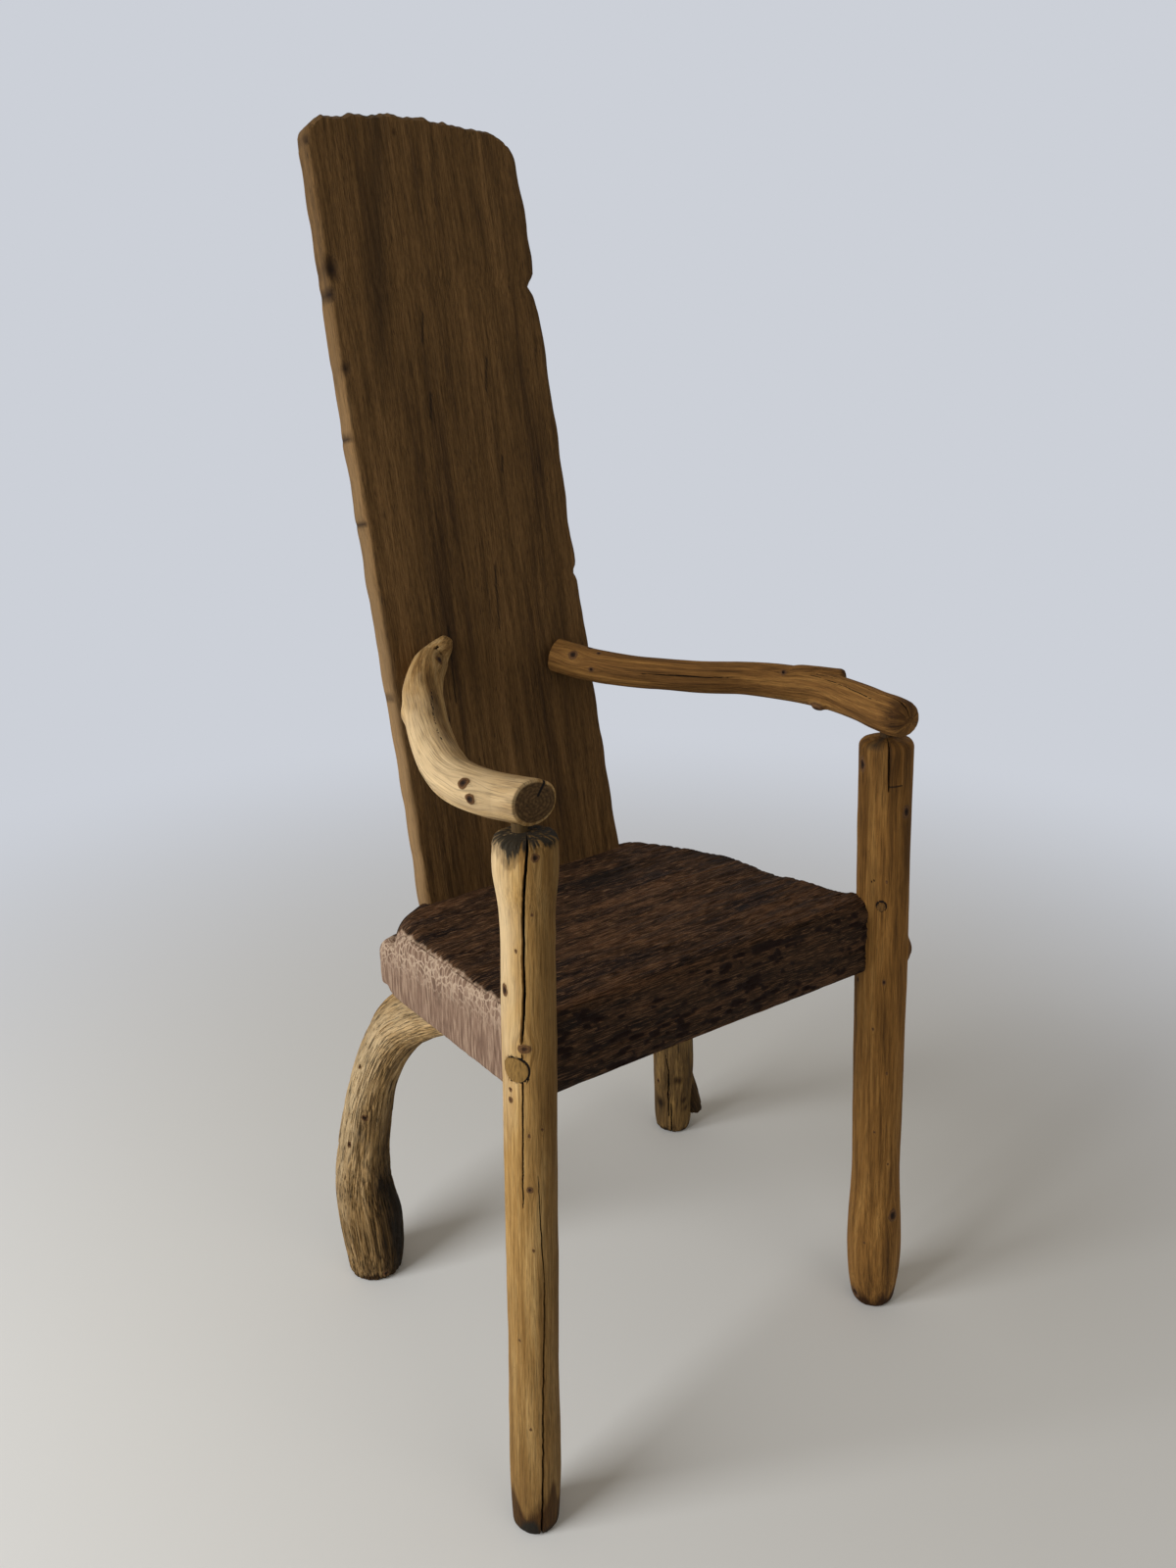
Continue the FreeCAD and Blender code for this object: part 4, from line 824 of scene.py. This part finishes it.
def right_arm():
    limb = Limb("right_arm_wood", RIGHT_ARM, (0, 0, 1), around=180)
    limb.wear((0.8, 20, 80, 52, 1), (0.4, 8, 50, 53, 2))
    limb.push += 0.4 * furrows(limb.grain(), 4.2, 70, seed=54)
    limb.round_end("first", 8, dome=2)
    limb.knot(308, 344, 4.6, height=0.8, hole=0.4)
    limb.knot(2, 333, 3, height=0.5, hole=0.8)
    limb.knot(272, 325, 2.6, height=0.6, hole=1.4)
    limb.knot(338, 322, 2.4, height=0.4, hole=1.0)
    limb.knot(318, 145, 3.2, height=0.8, hole=1.5)
    limb.knot(228, 103, 6, height=5.0, tall=1.3, strength=0.7)
    limb.crack([(0, 344, 1.0), (20, 350, 0.9), (60, 352, 0.8), (105, 350, 0.3)], 2.0, 4, seed=10)
    limb.crack([(200, 286, 0.3), (238, 284, 0.9), (280, 280, 0.3)], 1.3, 2.2, seed=11)
    limb.crack([(30, 318, 0.3), (70, 322, 0.8), (120, 326, 0.3)], 1.0, 1.5, seed=12)
    limb.crack([(92, 344, 0.3), (118, 338, 1.0), (140, 328, 0.4)], 2.2, 2.5, seed=13)
    limb.patch("dark", 300, 5, 26, 13, 0.8)
    limb.patch("dark", 250, 230, 14, 60, 0.35)
    return limb


def arm_stump():
    limb = Limb("arm_stump", ARM_STUMP, (0, 0, 1), around=90, cuts=(8, 6))
    limb.wear((0.5, 8, 40, 57, 2))
    limb.push += 0.4 * furrows(limb.grain(), 4, 50, seed=58)
    limb.round_end("last", 4)
    limb.jag("last", 2.5, 6, seed=3)
    limb.marks["dark"] = np.clip(1 - limb.far_from("last") / 8, 0, 0.7)
    return limb


arm_right = right_arm()
arm_right.shape(against_board)
stump = arm_stump()
stump.shape()
join_branch(arm_right.piece, stump.piece)
BROWN_LIMB = limb_wood("dry_brown_limb", ("#4f361b", "#7a572e", "#98723f"), depth=0.6, streak=0.55)
finish_piece(arm_right.piece, BROWN_LIMB, ["right_arm"])

# %% [markdown]
# ## Boards
# The seat slab and the back plank start as a cube that is cut into cells along its three
# directions. The cube's corners are then pulled to the outline of the real board, its
# edges are worn round, and the faces are furrowed along the grain.

# %% A finely cut block
def block_blank(name, counts):
    """A cube from -1 to 1, cut again and again by the given numbers along X, Y and Z."""
    bpy.ops.object.select_all(action="DESELECT")
    bpy.ops.mesh.primitive_cube_add(size=2)
    piece = bpy.context.object
    piece.name = name
    bpy.ops.object.mode_set(mode="EDIT")
    bpy.ops.mesh.select_mode(type="EDGE")
    for axis, cuts in enumerate(counts):
        for number in cuts:
            pick_edges(piece, lambda a, b: abs(a[axis] - b[axis]) > TINY)
            bpy.ops.mesh.subdivide(number_cuts=number)
    bpy.ops.object.mode_set(mode="OBJECT")
    return piece


# %% [markdown]
# ## Back board
# A plank of dark softwood, silvered and rubbed, whose top corners are worn round. It
# narrows to the top, and two notches are left in its right edge.

# %% Back board outline
LEFT_EDGE = [(-64, -182), (0, -181.8), (123, -182.6), (273, -186.2), (402, -188.6), (546, -190),
             (690, -189.5)]
RIGHT_EDGE = [(-64, 48.5), (0, 46.8), (89, 41.7), (180, 37.1), (276, 32.5), (335, 30.3),
              (418, 28.3), (472, 25.9), (525, 22.8), (542, 20.2), (577, 21.8), (602, 20.6),
              (628, 18.2), (652, 16.0), (690, 14.5)]
TOP_LINE = [(-190, 677), (-153, 681.5), (-111, 686.5), (-45, 684.5), (17, 678)]
BOARD_FOOT = -62
BOARD_TOP = 682
BOARD_THICK = 24
BOARD_CORNERS = (20, 25)
NOTCHES = ((550, 6.5, 9), (285, 4, 7))
BOARD_KNOTS = ((-183, 558, 9, 2.6), (-187, 538, 6, 2.4), (-184, 478, 5, 1.5), (-189, 421, 3, 1.5),
               (-187, 348, 3, 1.5), (-185, 194, 3, 1.5), (-188, 658, 3, 2.4), (-107, 672, 2.5, 2.0))
BOARD_CRACKS = ((-103, 523, -107, 498), (-43, 486, -48, 456), (-105, 457, -109, 432),
                (-39, 398, -41, 385), (-62, 300, -66, 240), (-120, 250, -123, 180))


def rounded_corners(across, up, half_wide, top, corner):
    """Pull the square top corners of an outline in to arcs."""
    over_x = np.abs(across) - (half_wide - corner)
    over_z = up - (top - corner)
    both = (over_x > 0) & (over_z > 0)
    slant = np.maximum(np.hypot(over_x, over_z), 1e-9)
    pull = np.where(both, np.maximum(over_x, over_z) / slant, 1)
    new_x = np.where(both, np.sign(across) * (half_wide - corner + over_x * pull), across)
    new_z = np.where(both, top - corner + over_z * pull, up)
    return new_x, new_z


def mark_board(piece, local, front, gap):
    """Sink the knots and store them with the fine cracks, the dark streak and the rubbed edge."""
    knots = np.zeros(len(local))
    for where, height, size, sink in BOARD_KNOTS:
        far = np.hypot(local[:, 0] - where, (local[:, 2] - height) / 1.3)
        far *= 1 + 0.2 * field(local / size + size)
        local[:, 1] -= front * sink * hollow(far, size * 1.2)
        knots = np.maximum(knots, np.clip(1.1 - far / size, 0, 1))
    cracks = np.zeros(len(local))
    for x_high, high, x_low, low in BOARD_CRACKS:
        line = np.interp(local[:, 2], (low, high), (x_low, x_high))
        inside = (local[:, 2] > low) & (local[:, 2] < high)
        cracks = np.maximum(cracks, inside * np.clip(1.3 - np.abs(local[:, 0] - line), 0, 1))
    streak_x = np.interp(local[:, 2], (474, 672), (-152, -123))
    streak = np.clip(1 - np.abs(local[:, 0] - streak_x) / 14, 0, 1)
    streak *= np.clip((local[:, 2] - 430) / 80, 0, 1)
    keep(piece, "knot", knots)
    keep(piece, "crack", cracks)
    keep(piece, "dark", streak)
    rubbed = np.interp(local[:, 2], (0, 150, 420, 560), (0.9, 1.0, 0.6, 0.15))
    keep(piece, "pale", np.clip(1 - gap / 4, 0, 1) * (local[:, 0] < -80) * rubbed)


def back_board():
    piece = block_blank("back_board_wood", ((12, 12), (6,), (13, 13)))
    start = mesh_points(piece)
    up = BOARD_FOOT + (BOARD_TOP - BOARD_FOOT) * (start[:, 2] + 1) / 2
    left = np.interp(up, *np.transpose(LEFT_EDGE))
    right = np.interp(up, *np.transpose(RIGHT_EDGE))
    for height, depth, reach in NOTCHES:
        right = right - depth * np.clip(1 - np.abs(up - height) / reach, 0, 1)
    half_wide = (right - left) / 2
    side = start[:, 0] * half_wide
    corner = np.where(side < 0, *BOARD_CORNERS)
    across, high = rounded_corners(side, up, half_wide, BOARD_TOP, corner)
    # The long edges and the top are worn round by an uneven amount
    gap = np.minimum(half_wide - np.abs(side), BOARD_TOP - up)
    rim = 5.5 + 2.0 * field(np.stack([up / 40, start[:, 0] * 3, start[:, 1]], axis=1))
    inner = np.clip(rim - gap, 0, rim)
    deep = start[:, 1] * (BOARD_THICK / 2 - rim + np.sqrt(rim ** 2 - inner ** 2))
    grain = np.stack([across, deep, high], axis=1)
    near_top = np.clip(1 - (BOARD_TOP - up) / 60, 0, 1)
    wave = 2.0 * wood_noise(grain * (1, 0, 0), 16, 100, seed=61)
    wave += 1.3 * wood_noise(grain * (1, 0, 0), 6, 100, seed=62)
    middle = (left + right) / 2
    high = high + near_top * (wave + np.interp(middle + side, *np.transpose(TOP_LINE)) - BOARD_TOP)
    near_side = np.sign(side) * np.clip(1 - (half_wide - np.abs(side)) / 14, 0, 1)
    across = across + near_side * (1.3 * wood_noise(grain * (0, 0, 1), 12, 24, seed=63) - 0.3)
    front = np.sign(start[:, 1]) * (np.abs(start[:, 1]) > 0.999)
    relief = 0.7 * wood_noise(grain, 40, 190, seed=64)
    relief += 0.35 * wood_noise(grain, 9, 120, seed=65, layers=2)
    relief += 0.4 * furrows(grain, 5, 120, seed=66) + 0.3 * furrows(grain, 3, 70, seed=67)
    local = np.stack([middle + across, deep + front * (relief - 0.6), high], axis=1)
    mark_board(piece, local, front, gap)
    keep(piece, "grain", local * MM)
    back = local[:, 1] + BOARD_THICK / 2
    turned = local.copy()
    turned[:, 1] = BOARD_FACE_Y + back * math.cos(RAKE) + local[:, 2] * math.sin(RAKE)
    turned[:, 2] = SEAT_TOP - back * math.sin(RAKE) + local[:, 2] * math.cos(RAKE)
    set_points(piece, turned)
    return piece


# %% [markdown]
# The plank has gone brown and dry. Its colour follows the grain in drawn-out streaks, its
# open pores are dark, and its left edge is rubbed pale by hands and knees.

# %% Wood of the back board
def board_wood(name, tones):
    """Weathered softwood board: brown, with dark drawn-out streaks and open pores."""
    material, tree = bare_material(name)
    grain = add_node(tree, "Attribute", out="Vector", attribute_name="grain")
    mark = {key: add_node(tree, "Attribute", out="Fac", attribute_name=key)
            for key in ("knot", "crack", "dark", "pale")}
    broad = grain_noise(tree, grain, 30, 300, detail=3, twist=0.4)
    bands = grain_noise(tree, grain, 8, 150, detail=4, rough=0.6)
    fibres = grain_noise(tree, grain, 0.9, 26, detail=4, rough=0.7)
    fine = grain_noise(tree, grain, 0.5, 7, detail=2)
    pores = grain_noise(tree, grain, 1.0, 16, detail=2, rough=0.7)
    mixed = add_node(tree, "Math", {0: broad, 1: bands}, operation="ADD")
    share = add_node(tree, "MapRange", {"Value": mixed, "From Min": 0.7, "From Max": 1.3})
    tone = add_node(tree, "ValToRGB", {0: share}, stops=list(zip((0.0, 0.5, 1.0), tones)))
    streaks = add_node(tree, "ValToRGB", {0: fibres}, stops=[(0.38, 0.2), (0.52, 1.0)])
    hairs = add_node(tree, "ValToRGB", {0: fine}, stops=[(0.3, 0.15), (0.7, 0.85)])
    open_pores = add_node(tree, "ValToRGB", {0: pores}, stops=[(0.29, 0.8), (0.37, 0.0)])
    shadow = add_node(tree, "Math", {0: mark["dark"], 1: bands}, operation="MULTIPLY")
    pale = add_node(tree, "Math", {0: mark["pale"], 1: fibres}, operation="MULTIPLY")
    tone = lay_over(tree, tone, (
        (0.5, streaks, TIMES), (0.5, hairs, OVERLAY), (open_pores, "#1d130d", MIX),
        (shadow, "#1e150e", MIX), (pale, "#9a7f5c", MIX), (mark["knot"], "#20150e", MIX),
        (mark["crack"], "#0f0a07", MIX)))
    dry_surface(tree, tone, fibre_relief(tree, fibres, fine), 0.8, roughness=0.82)
    return material


board = back_board()
BROWN_PLANK = board_wood("weathered_brown_plank", ("#42301d", "#624a2c", "#775b39"))
finish_piece(board, BROWN_PLANK, ["back_board"])

# %% [markdown]
# ## Seat slab
# The seat is a slab three inches thick with a waney right edge. Its front edge is worn
# round, its sawn left end shows the grain end on, and its top is furrowed and dark.

# %% Seat slab
SLAB_UNDER = 408
SLAB_LEFT = [(-190, -217), (-165.6, -218), (74, -231.5)]
SLAB_RIGHT = [(-190, 163.5), (-160, 163.5), (-150, 160), (-124, 152), (-106, 146), (-90, 139),
              (-65, 133), (-40, 130), (-18, 128), (4, 115), (30, 102), (47, 89), (58, 79), (74, 58)]
SLAB_REAR = [(-232, 63.5), (-182, 70), (-150, 74)]
SLAB_HOLLOWS = (-145, -77, -9)


def slab_marks(piece, grain, gap_left, gap_top, pits, face_front):
    """Store where the sawn end, its chipped rim and its flaked cells are."""
    back, high = grain[:, 0], grain[:, 1]
    chips = 5 + 5 * wood_noise(grain * (1, 0, 0), 9, 100, seed=77, layers=2)
    end = np.clip((chips - gap_left) / 1.5, 0, 1)
    keep(piece, "end", end)
    keep(piece, "flaked", end * np.clip((high - 437 + 0.12 * back) / 26, 0, 1))
    keep(piece, "rim", np.clip(1.2 - np.abs(chips - gap_left - 1) / 1.6, 0, 1) * (gap_top < 20))
    keep(piece, "pit", pits)
    dip = np.exp(-((grain[:, 2] + 8) / 46) ** 2 - ((back - 14) / 13) ** 2)
    wane = np.exp(-((grain[:, 2] - 118) / 22) ** 2 - ((back + 12) / 24) ** 2)
    # The dark mark darkens a dip in the top and a spot by the waney edge, and lays painted shade
    # over the front face below its rounded top edge.
    keep(piece, "dark", np.clip(1.2 * dip + 0.9 * wane + 0.45 * face_front, 0, 1))
    return dip


def seat_slab():
    piece = block_blank("seat_slab_wood", ((14, 13), (12, 12), (30,)))
    start = mesh_points(piece)
    depth_share, across_share = (start[:, 1] + 1) / 2, (start[:, 0] + 1) / 2
    front = -165.6 - 13.4 * across_share
    rear = np.interp(-232 + 390 * across_share, *np.transpose(SLAB_REAR))
    back = front + (rear - front) * depth_share
    left = np.interp(back, *np.transpose(SLAB_LEFT))
    right = np.interp(back, *np.transpose(SLAB_RIGHT))
    across = left + (right - left) * across_share
    high = SLAB_UNDER + (SEAT_TOP - SLAB_UNDER) * (start[:, 2] + 1) / 2
    gap_top, gap_low = SEAT_TOP - high, high - SLAB_UNDER
    gap_front, gap_rear = back - front, rear - back
    gap_left, gap_right = across - left, right - across
    grain = np.stack([back, high, across], axis=1)
    wander = 1 + 0.25 * wood_noise(grain * (1, 0, 1), 30, 60, seed=70)
    ease = np.zeros((len(start), 3))

    def roll(gap_side, gap_flat, radius, axis, side_sign, flat_sign):
        """Roll the edge between a side face and the top or the underside."""
        inner_side = np.clip(radius - gap_side, 0, radius)
        inner_flat = np.clip(radius - gap_flat, 0, radius)
        length = np.maximum(np.hypot(inner_side, inner_flat), 1e-9)
        both = (inner_side > 0) & (inner_flat > 0)
        pull = np.where(both, 1 - np.maximum(inner_side, inner_flat) / length, 0)
        ease[:, axis] += side_sign * inner_side * pull
        ease[:, 2] += flat_sign * inner_flat * pull

    square_end = np.clip((back + 158) / 12, 0.15, 1)
    roll(gap_front, gap_top, 14 * wander, 1, 1, -1)
    roll(gap_front, gap_low, 4 * wander, 1, 1, 1)
    roll(gap_left, gap_top, np.interp(back, (-160, 10, 64), (9, 14, 34)) * wander, 0, 1, -1)
    roll(gap_left, gap_low, np.interp(back, (-160, 40, 74), (4, 6, 14)), 0, 1, 1)
    roll(gap_right, gap_top, 11 * wander * square_end, 0, -1, -1)
    roll(gap_right, gap_low, 6 * wander * square_end, 0, -1, 1)
    roll(gap_rear, gap_top, np.interp(across, (-232, -182, 60, 90), (42, 11, 8, 12)), 1, -1, -1)
    roll(gap_rear, gap_low, np.interp(across, (-232, -182, -150), (20, 18, 5)), 1, -1, 1)
    points = np.stack([across, back, high], axis=1) + ease
    # Furrows along the grain, which runs from left to right
    relief = 1.1 * wood_noise(grain, 26, 160, seed=71)
    relief += 0.8 * wood_noise(grain, 8, 100, seed=72, layers=2)
    relief += 1.3 * furrows(grain, 5.5, 120, seed=73) + 0.9 * furrows(grain, 3.2, 60, seed=74)
    face_front = (gap_front < 1e-6) * np.clip(gap_top / 12, 0, 1)
    pits = np.clip(wood_noise(grain, 5, 17, seed=75, layers=3) - 0.22, 0, 0.6)
    pits *= np.clip(1.3 * wood_noise(grain, 30, 80, seed=79) + 0.6, 0.15, 1) * face_front
    dip = slab_marks(piece, grain, gap_left, gap_top, pits, face_front)
    gullies = sum(np.clip(1 - np.abs(back - middle) / 28, 0, 1) for middle in SLAB_HOLLOWS)
    top = gap_top < 1e-6
    points[:, 2] += top * (relief - 1.8 * gullies - 2.2 * dip - 0.2)
    points[:, 2] -= (gap_low < 1e-6) * relief * 0.5
    points[:, 1] -= (gap_front < 1e-6) * (relief * 0.6 - 4.5 * pits - 0.5)
    points[:, 0] += (gap_right < 1e-6) * square_end * (relief - 0.5)
    points[:, 0] -= (gap_left < 1e-6) * (0.5 * wood_noise(grain, 14, 14, seed=76, layers=2) - 0.3)
    keep(piece, "grain", grain * MM)
    set_points(piece, points)
    return piece


# %% [markdown]
# The slab is the darkest wood of the chair. Only its sawn end is pale: there the rings
# were cut across, and weather has lifted them into small flakes with pale outlines.

# %% Wood of the seat slab
def slab_wood():
    """Very dark weathered softwood slab, whose sawn end is paler and flaked into small cells."""
    material, tree = bare_material("weathered_dark_slab")
    grain = add_node(tree, "Attribute", out="Vector", attribute_name="grain")
    mark = {key: add_node(tree, "Attribute", out="Fac", attribute_name=key)
            for key in ("end", "flaked", "rim", "pit", "dark")}
    broad = grain_noise(tree, grain, 16, 150, detail=4, twist=0.5)
    fibres = grain_noise(tree, grain, 0.9, 15, detail=4, rough=0.7)
    fine = grain_noise(tree, grain, 0.5, 6, detail=2)
    tone = add_node(tree, "ValToRGB", {0: broad},
                    stops=[(0.38, "#2a1b12"), (0.5, "#4a3422"), (0.62, "#694b34")])
    streaks = add_node(tree, "ValToRGB", {0: fibres}, stops=[(0.4, 0.1), (0.54, 1.0)])
    hairs = add_node(tree, "ValToRGB", {0: fine}, stops=[(0.3, 0.15), (0.7, 0.85)])
    glints = add_node(tree, "ValToRGB", {0: fibres}, stops=[(0.55, 0.0), (0.63, 0.85)])
    # Dark patches on the top, and painted shade on the front face.
    deep = add_node(tree, "Math", {0: mark["dark"], 1: 0.75}, operation="MULTIPLY")
    eaten = add_node(tree, "ValToRGB", {0: mark["pit"]}, stops=[(0.01, 0.0), (0.12, 0.95)])
    sawn = sawn_end(tree, grain, fine, mark["flaked"])
    rim = add_node(tree, "Math", {0: mark["rim"], 1: 0.45}, operation="MULTIPLY")
    tone = lay_over(tree, tone, (
        (0.85, streaks, TIMES), (0.55, hairs, OVERLAY), (glints, "#8a6a50", MIX),
        (deep, "#120d09", MIX), (eaten, "#1c0e09", MIX), (mark["end"], sawn, MIX),
        (rim, "#b9a28c", MIX)))
    dry_surface(tree, tone, fibre_relief(tree, fibres, fine), 1.8)
    return material


def sawn_end(tree, grain, fine, flaked):
    """Pinkish brown end grain with pale outlines round its flakes and streaks below them."""
    scale = (1 / (6.5 * MM), 1 / (9.5 * MM), 1 / (60 * MM))
    cells = add_node(tree, "Mapping", {"Vector": grain, "Scale": scale})
    bend = add_node(tree, "TexNoise", {"Vector": cells, "Scale": 1.2, "Detail": 2.0}, out="Color")
    shifted = add_node(tree, "VectorMath", {0: cells, 1: bend}, operation="ADD")
    flakes = add_node(tree, "TexVoronoi", {"Vector": shifted, "Scale": 1.0}, out="Distance",
                      feature="DISTANCE_TO_EDGE")
    outline = add_node(tree, "ValToRGB", {0: flakes}, stops=[(0.03, 1.0), (0.13, 0.0)])
    shown = add_node(tree, "Math", {0: outline, 1: flaked}, operation="MULTIPLY")
    scale = (1 / (2.2 * MM), 1 / (26 * MM), 1 / (2 * MM))
    stretch = add_node(tree, "Mapping", {"Vector": grain, "Scale": scale})
    streaks = add_node(tree, "TexNoise", {"Vector": stretch, "Scale": 1.0, "Detail": 3.0})
    base = add_node(tree, "ValToRGB", {0: streaks}, stops=[(0.35, "#6f594b"), (0.5, "#8a7161"),
                                                           (0.65, "#a8917e")])
    base = add_node(tree, "Mix", {0: shown, 6: base, 7: "#c0ab97"}, **MIX)
    shade = add_node(tree, "ValToRGB", {0: fine}, stops=[(0.3, 0.3), (0.6, 1.0)])
    return add_node(tree, "Mix", {0: 0.35, 6: base, 7: shade}, **TIMES)


slab = seat_slab()
finish_piece(slab, slab_wood(), ["seat_slab"])

# %% [markdown]
# ## Screws, plugs and washers
# These keep their modelled shape and only get a finish: dull zinc on the screws and
# washers, plain trimmed wood on the plugs and the peg.

# %% Finish of the fasteners
def plain_material(name, base, roughness, metallic=0.0, across=2.5, along=2.5, shine=0.15):
    """One colour with a little wear, in cells of a size that suits a small part."""
    material, tree = bare_material(name)
    place = add_node(tree, "TexCoord", out="Object")
    wear = grain_noise(tree, place, across, along)
    shade = add_node(tree, "ValToRGB", {0: wear}, stops=[(0.35, 0.2), (0.6, 1.0)])
    tone = add_node(tree, "Mix", {0: 0.7, 6: base, 7: shade}, **TIMES)
    dry_surface(tree, tone, wear, 0.15, roughness, metallic, shine)
    return material


DULL_ZINC = plain_material("dull_zinc_plate", "#8d8b86", roughness=0.5, metallic=1.0, shine=0.5)
PLUG_WOOD = plain_material("trimmed_plug_wood", "#8a6c3c", roughness=0.8, across=1.0, along=7)
PEG_WOOD = plain_material("trimmed_peg_wood", "#6b4e2a", roughness=0.8, across=1.2, along=9)
FINISHES = {"post_coach_screws": DULL_ZINC, "board_coach_screws": DULL_ZINC,
            "board_washers": DULL_ZINC, "post_plugs": PLUG_WOOD, "right_post_peg": PEG_WOOD}
for node, material in FINISHES.items():
    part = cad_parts[node]
    part.data.materials.clear()
    part.data.materials.append(material)
    print(node, "has", material.name)

# %% [markdown]
# The arm screws are drawn anew, shorter, because the bent arms would let longer ones out
# again. Each goes in from the back of the board, at a right angle to it.

# %% Arm screws
# Depth from the back of the board and radius of each ring
SCREW_RINGS = [(0, 6), (3.5, 6), (3.5, 3), (18, 3), (31, 3), (38, 0.4)]


def arm_screw(name, across, height):
    """Flat-headed screw, flush in the back of the board and at a right angle to it."""
    screw = pole_blank(name, 32, (len(SCREW_RINGS) - 2,))
    start = mesh_points(screw)
    steps = np.linspace(0, 1, len(SCREW_RINGS))
    depth, radius = (np.interp(start[:, 2] + 0.5, steps, row) for row in np.transpose(SCREW_RINGS))
    face = np.array([across, BOARD_FACE_Y + (height - SEAT_TOP) * math.tan(RAKE), height])
    inward = np.array([0, -math.cos(RAKE), math.sin(RAKE)])
    upward = np.array([0, math.sin(RAKE), math.cos(RAKE)])
    points = face + inward * (depth - BOARD_THICK)[:, None] + upward * (start[:, 1] * radius)[:,
                                                                                              None]
    points[:, 0] += start[:, 0] * radius
    set_points(screw, points)
    return screw


arm_screws = arm_screw("arm_screws_steel", across=-138, height=706)
join_branch(arm_screws, arm_screw("second_arm_screw", across=-6, height=688))
finish_piece(arm_screws, DULL_ZINC, ["arm_screws"])

# %% [markdown]
# ## Room, light and camera
# The chair stands on a plain pale floor under soft light that comes mostly from a large
# window on its left. Away from the chair the floor takes the colour of the wall, so that
# no horizon cuts across the picture.

# %% Room, light and camera
WALL = "#ccd0d8"


def floor_paint(name, base):
    """Matt floor that keeps the shadow near the chair and fades to the wall's colour."""
    material, tree = bare_material(name)
    matt = add_node(tree, "BsdfPrincipled", {"Base Color": base, "Roughness": 0.9})
    wall = add_node(tree, "Emission", {"Color": WALL, "Strength": 1.0})
    place = add_node(tree, "TexCoord", out="Object")
    reach = add_node(tree, "VectorMath", {0: place}, out="Value", operation="LENGTH")
    faded = add_node(tree, "MapRange", {"Value": reach, "From Min": 0.4, "From Max": 2.0},
                     interpolation_type="SMOOTHSTEP")
    seen = add_node(tree, "LightPath", out="Is Camera Ray")
    amount = add_node(tree, "Math", {0: faded, 1: seen}, operation="MULTIPLY")
    both = add_node(tree, "MixShader", {0: amount, 1: matt, 2: wall})
    add_node(tree, "OutputMaterial", {"Surface": both})
    return material


bpy.ops.mesh.primitive_plane_add(size=14)
floor = bpy.context.object
floor.name = "studio_floor"
floor.data.materials.append(floor_paint("matt_floor_paint", "#e2e8ee"))

world = bpy.data.worlds.new("soft_room")
bpy.context.scene.world = world
world.use_nodes = True
tree = world.node_tree
tree.nodes.clear()
camera_ray = add_node(tree, "LightPath", out="Is Camera Ray")
glossy_ray = add_node(tree, "LightPath", out="Is Glossy Ray")
seen = add_node(tree, "Math", {0: camera_ray, 1: glossy_ray}, operation="MAXIMUM")
dim = add_node(tree, "Background", {"Color": "#f3e2ca", "Strength": 0.3})
wall = add_node(tree, "Background", {"Color": WALL, "Strength": 1.0})
both = add_node(tree, "MixShader", {0: seen, 1: dim, 2: wall})
add_node(tree, "OutputWorld", {"Surface": both})


def soft_lamp(name, place, target, size, power, tint):
    """A square lamp that shines from one place to another."""
    data = bpy.data.lights.new(name, "AREA")
    data.shape = "SQUARE"
    data.size = size
    data.energy = power
    data.color = colour(tint)[:3]
    lamp = bpy.data.objects.new(name, data)
    bpy.context.collection.objects.link(lamp)
    lamp.location = place
    lamp.rotation_euler = (Vector(target) - Vector(place)).to_track_quat("-Z", "Y").to_euler()


soft_lamp("window_light", (-2.55, 0.2, 1.45), (0, 0, 0.55), size=1.5, power=68, tint="#fffaf3")
soft_lamp("fill_light", (0.4, -3.0, 2.2), (0, 0, 0.5), size=2.2, power=9, tint="#fff3e4")

CAMERA_PLACE = (-0.6406, -0.8271, 0.970)
CAMERA_TILT, CAMERA_TURN = 69.65, -36
camera_data = bpy.data.cameras.new("camera")
camera_data.lens = 27
camera_data.sensor_width = 36
camera_data.sensor_fit = "AUTO"
camera = bpy.data.objects.new("camera", camera_data)
bpy.context.collection.objects.link(camera)
camera.location = CAMERA_PLACE
camera.rotation_euler = (math.radians(CAMERA_TILT), 0, math.radians(CAMERA_TURN))
bpy.context.scene.camera = camera
bpy.context.scene.view_settings.view_transform = "Standard"
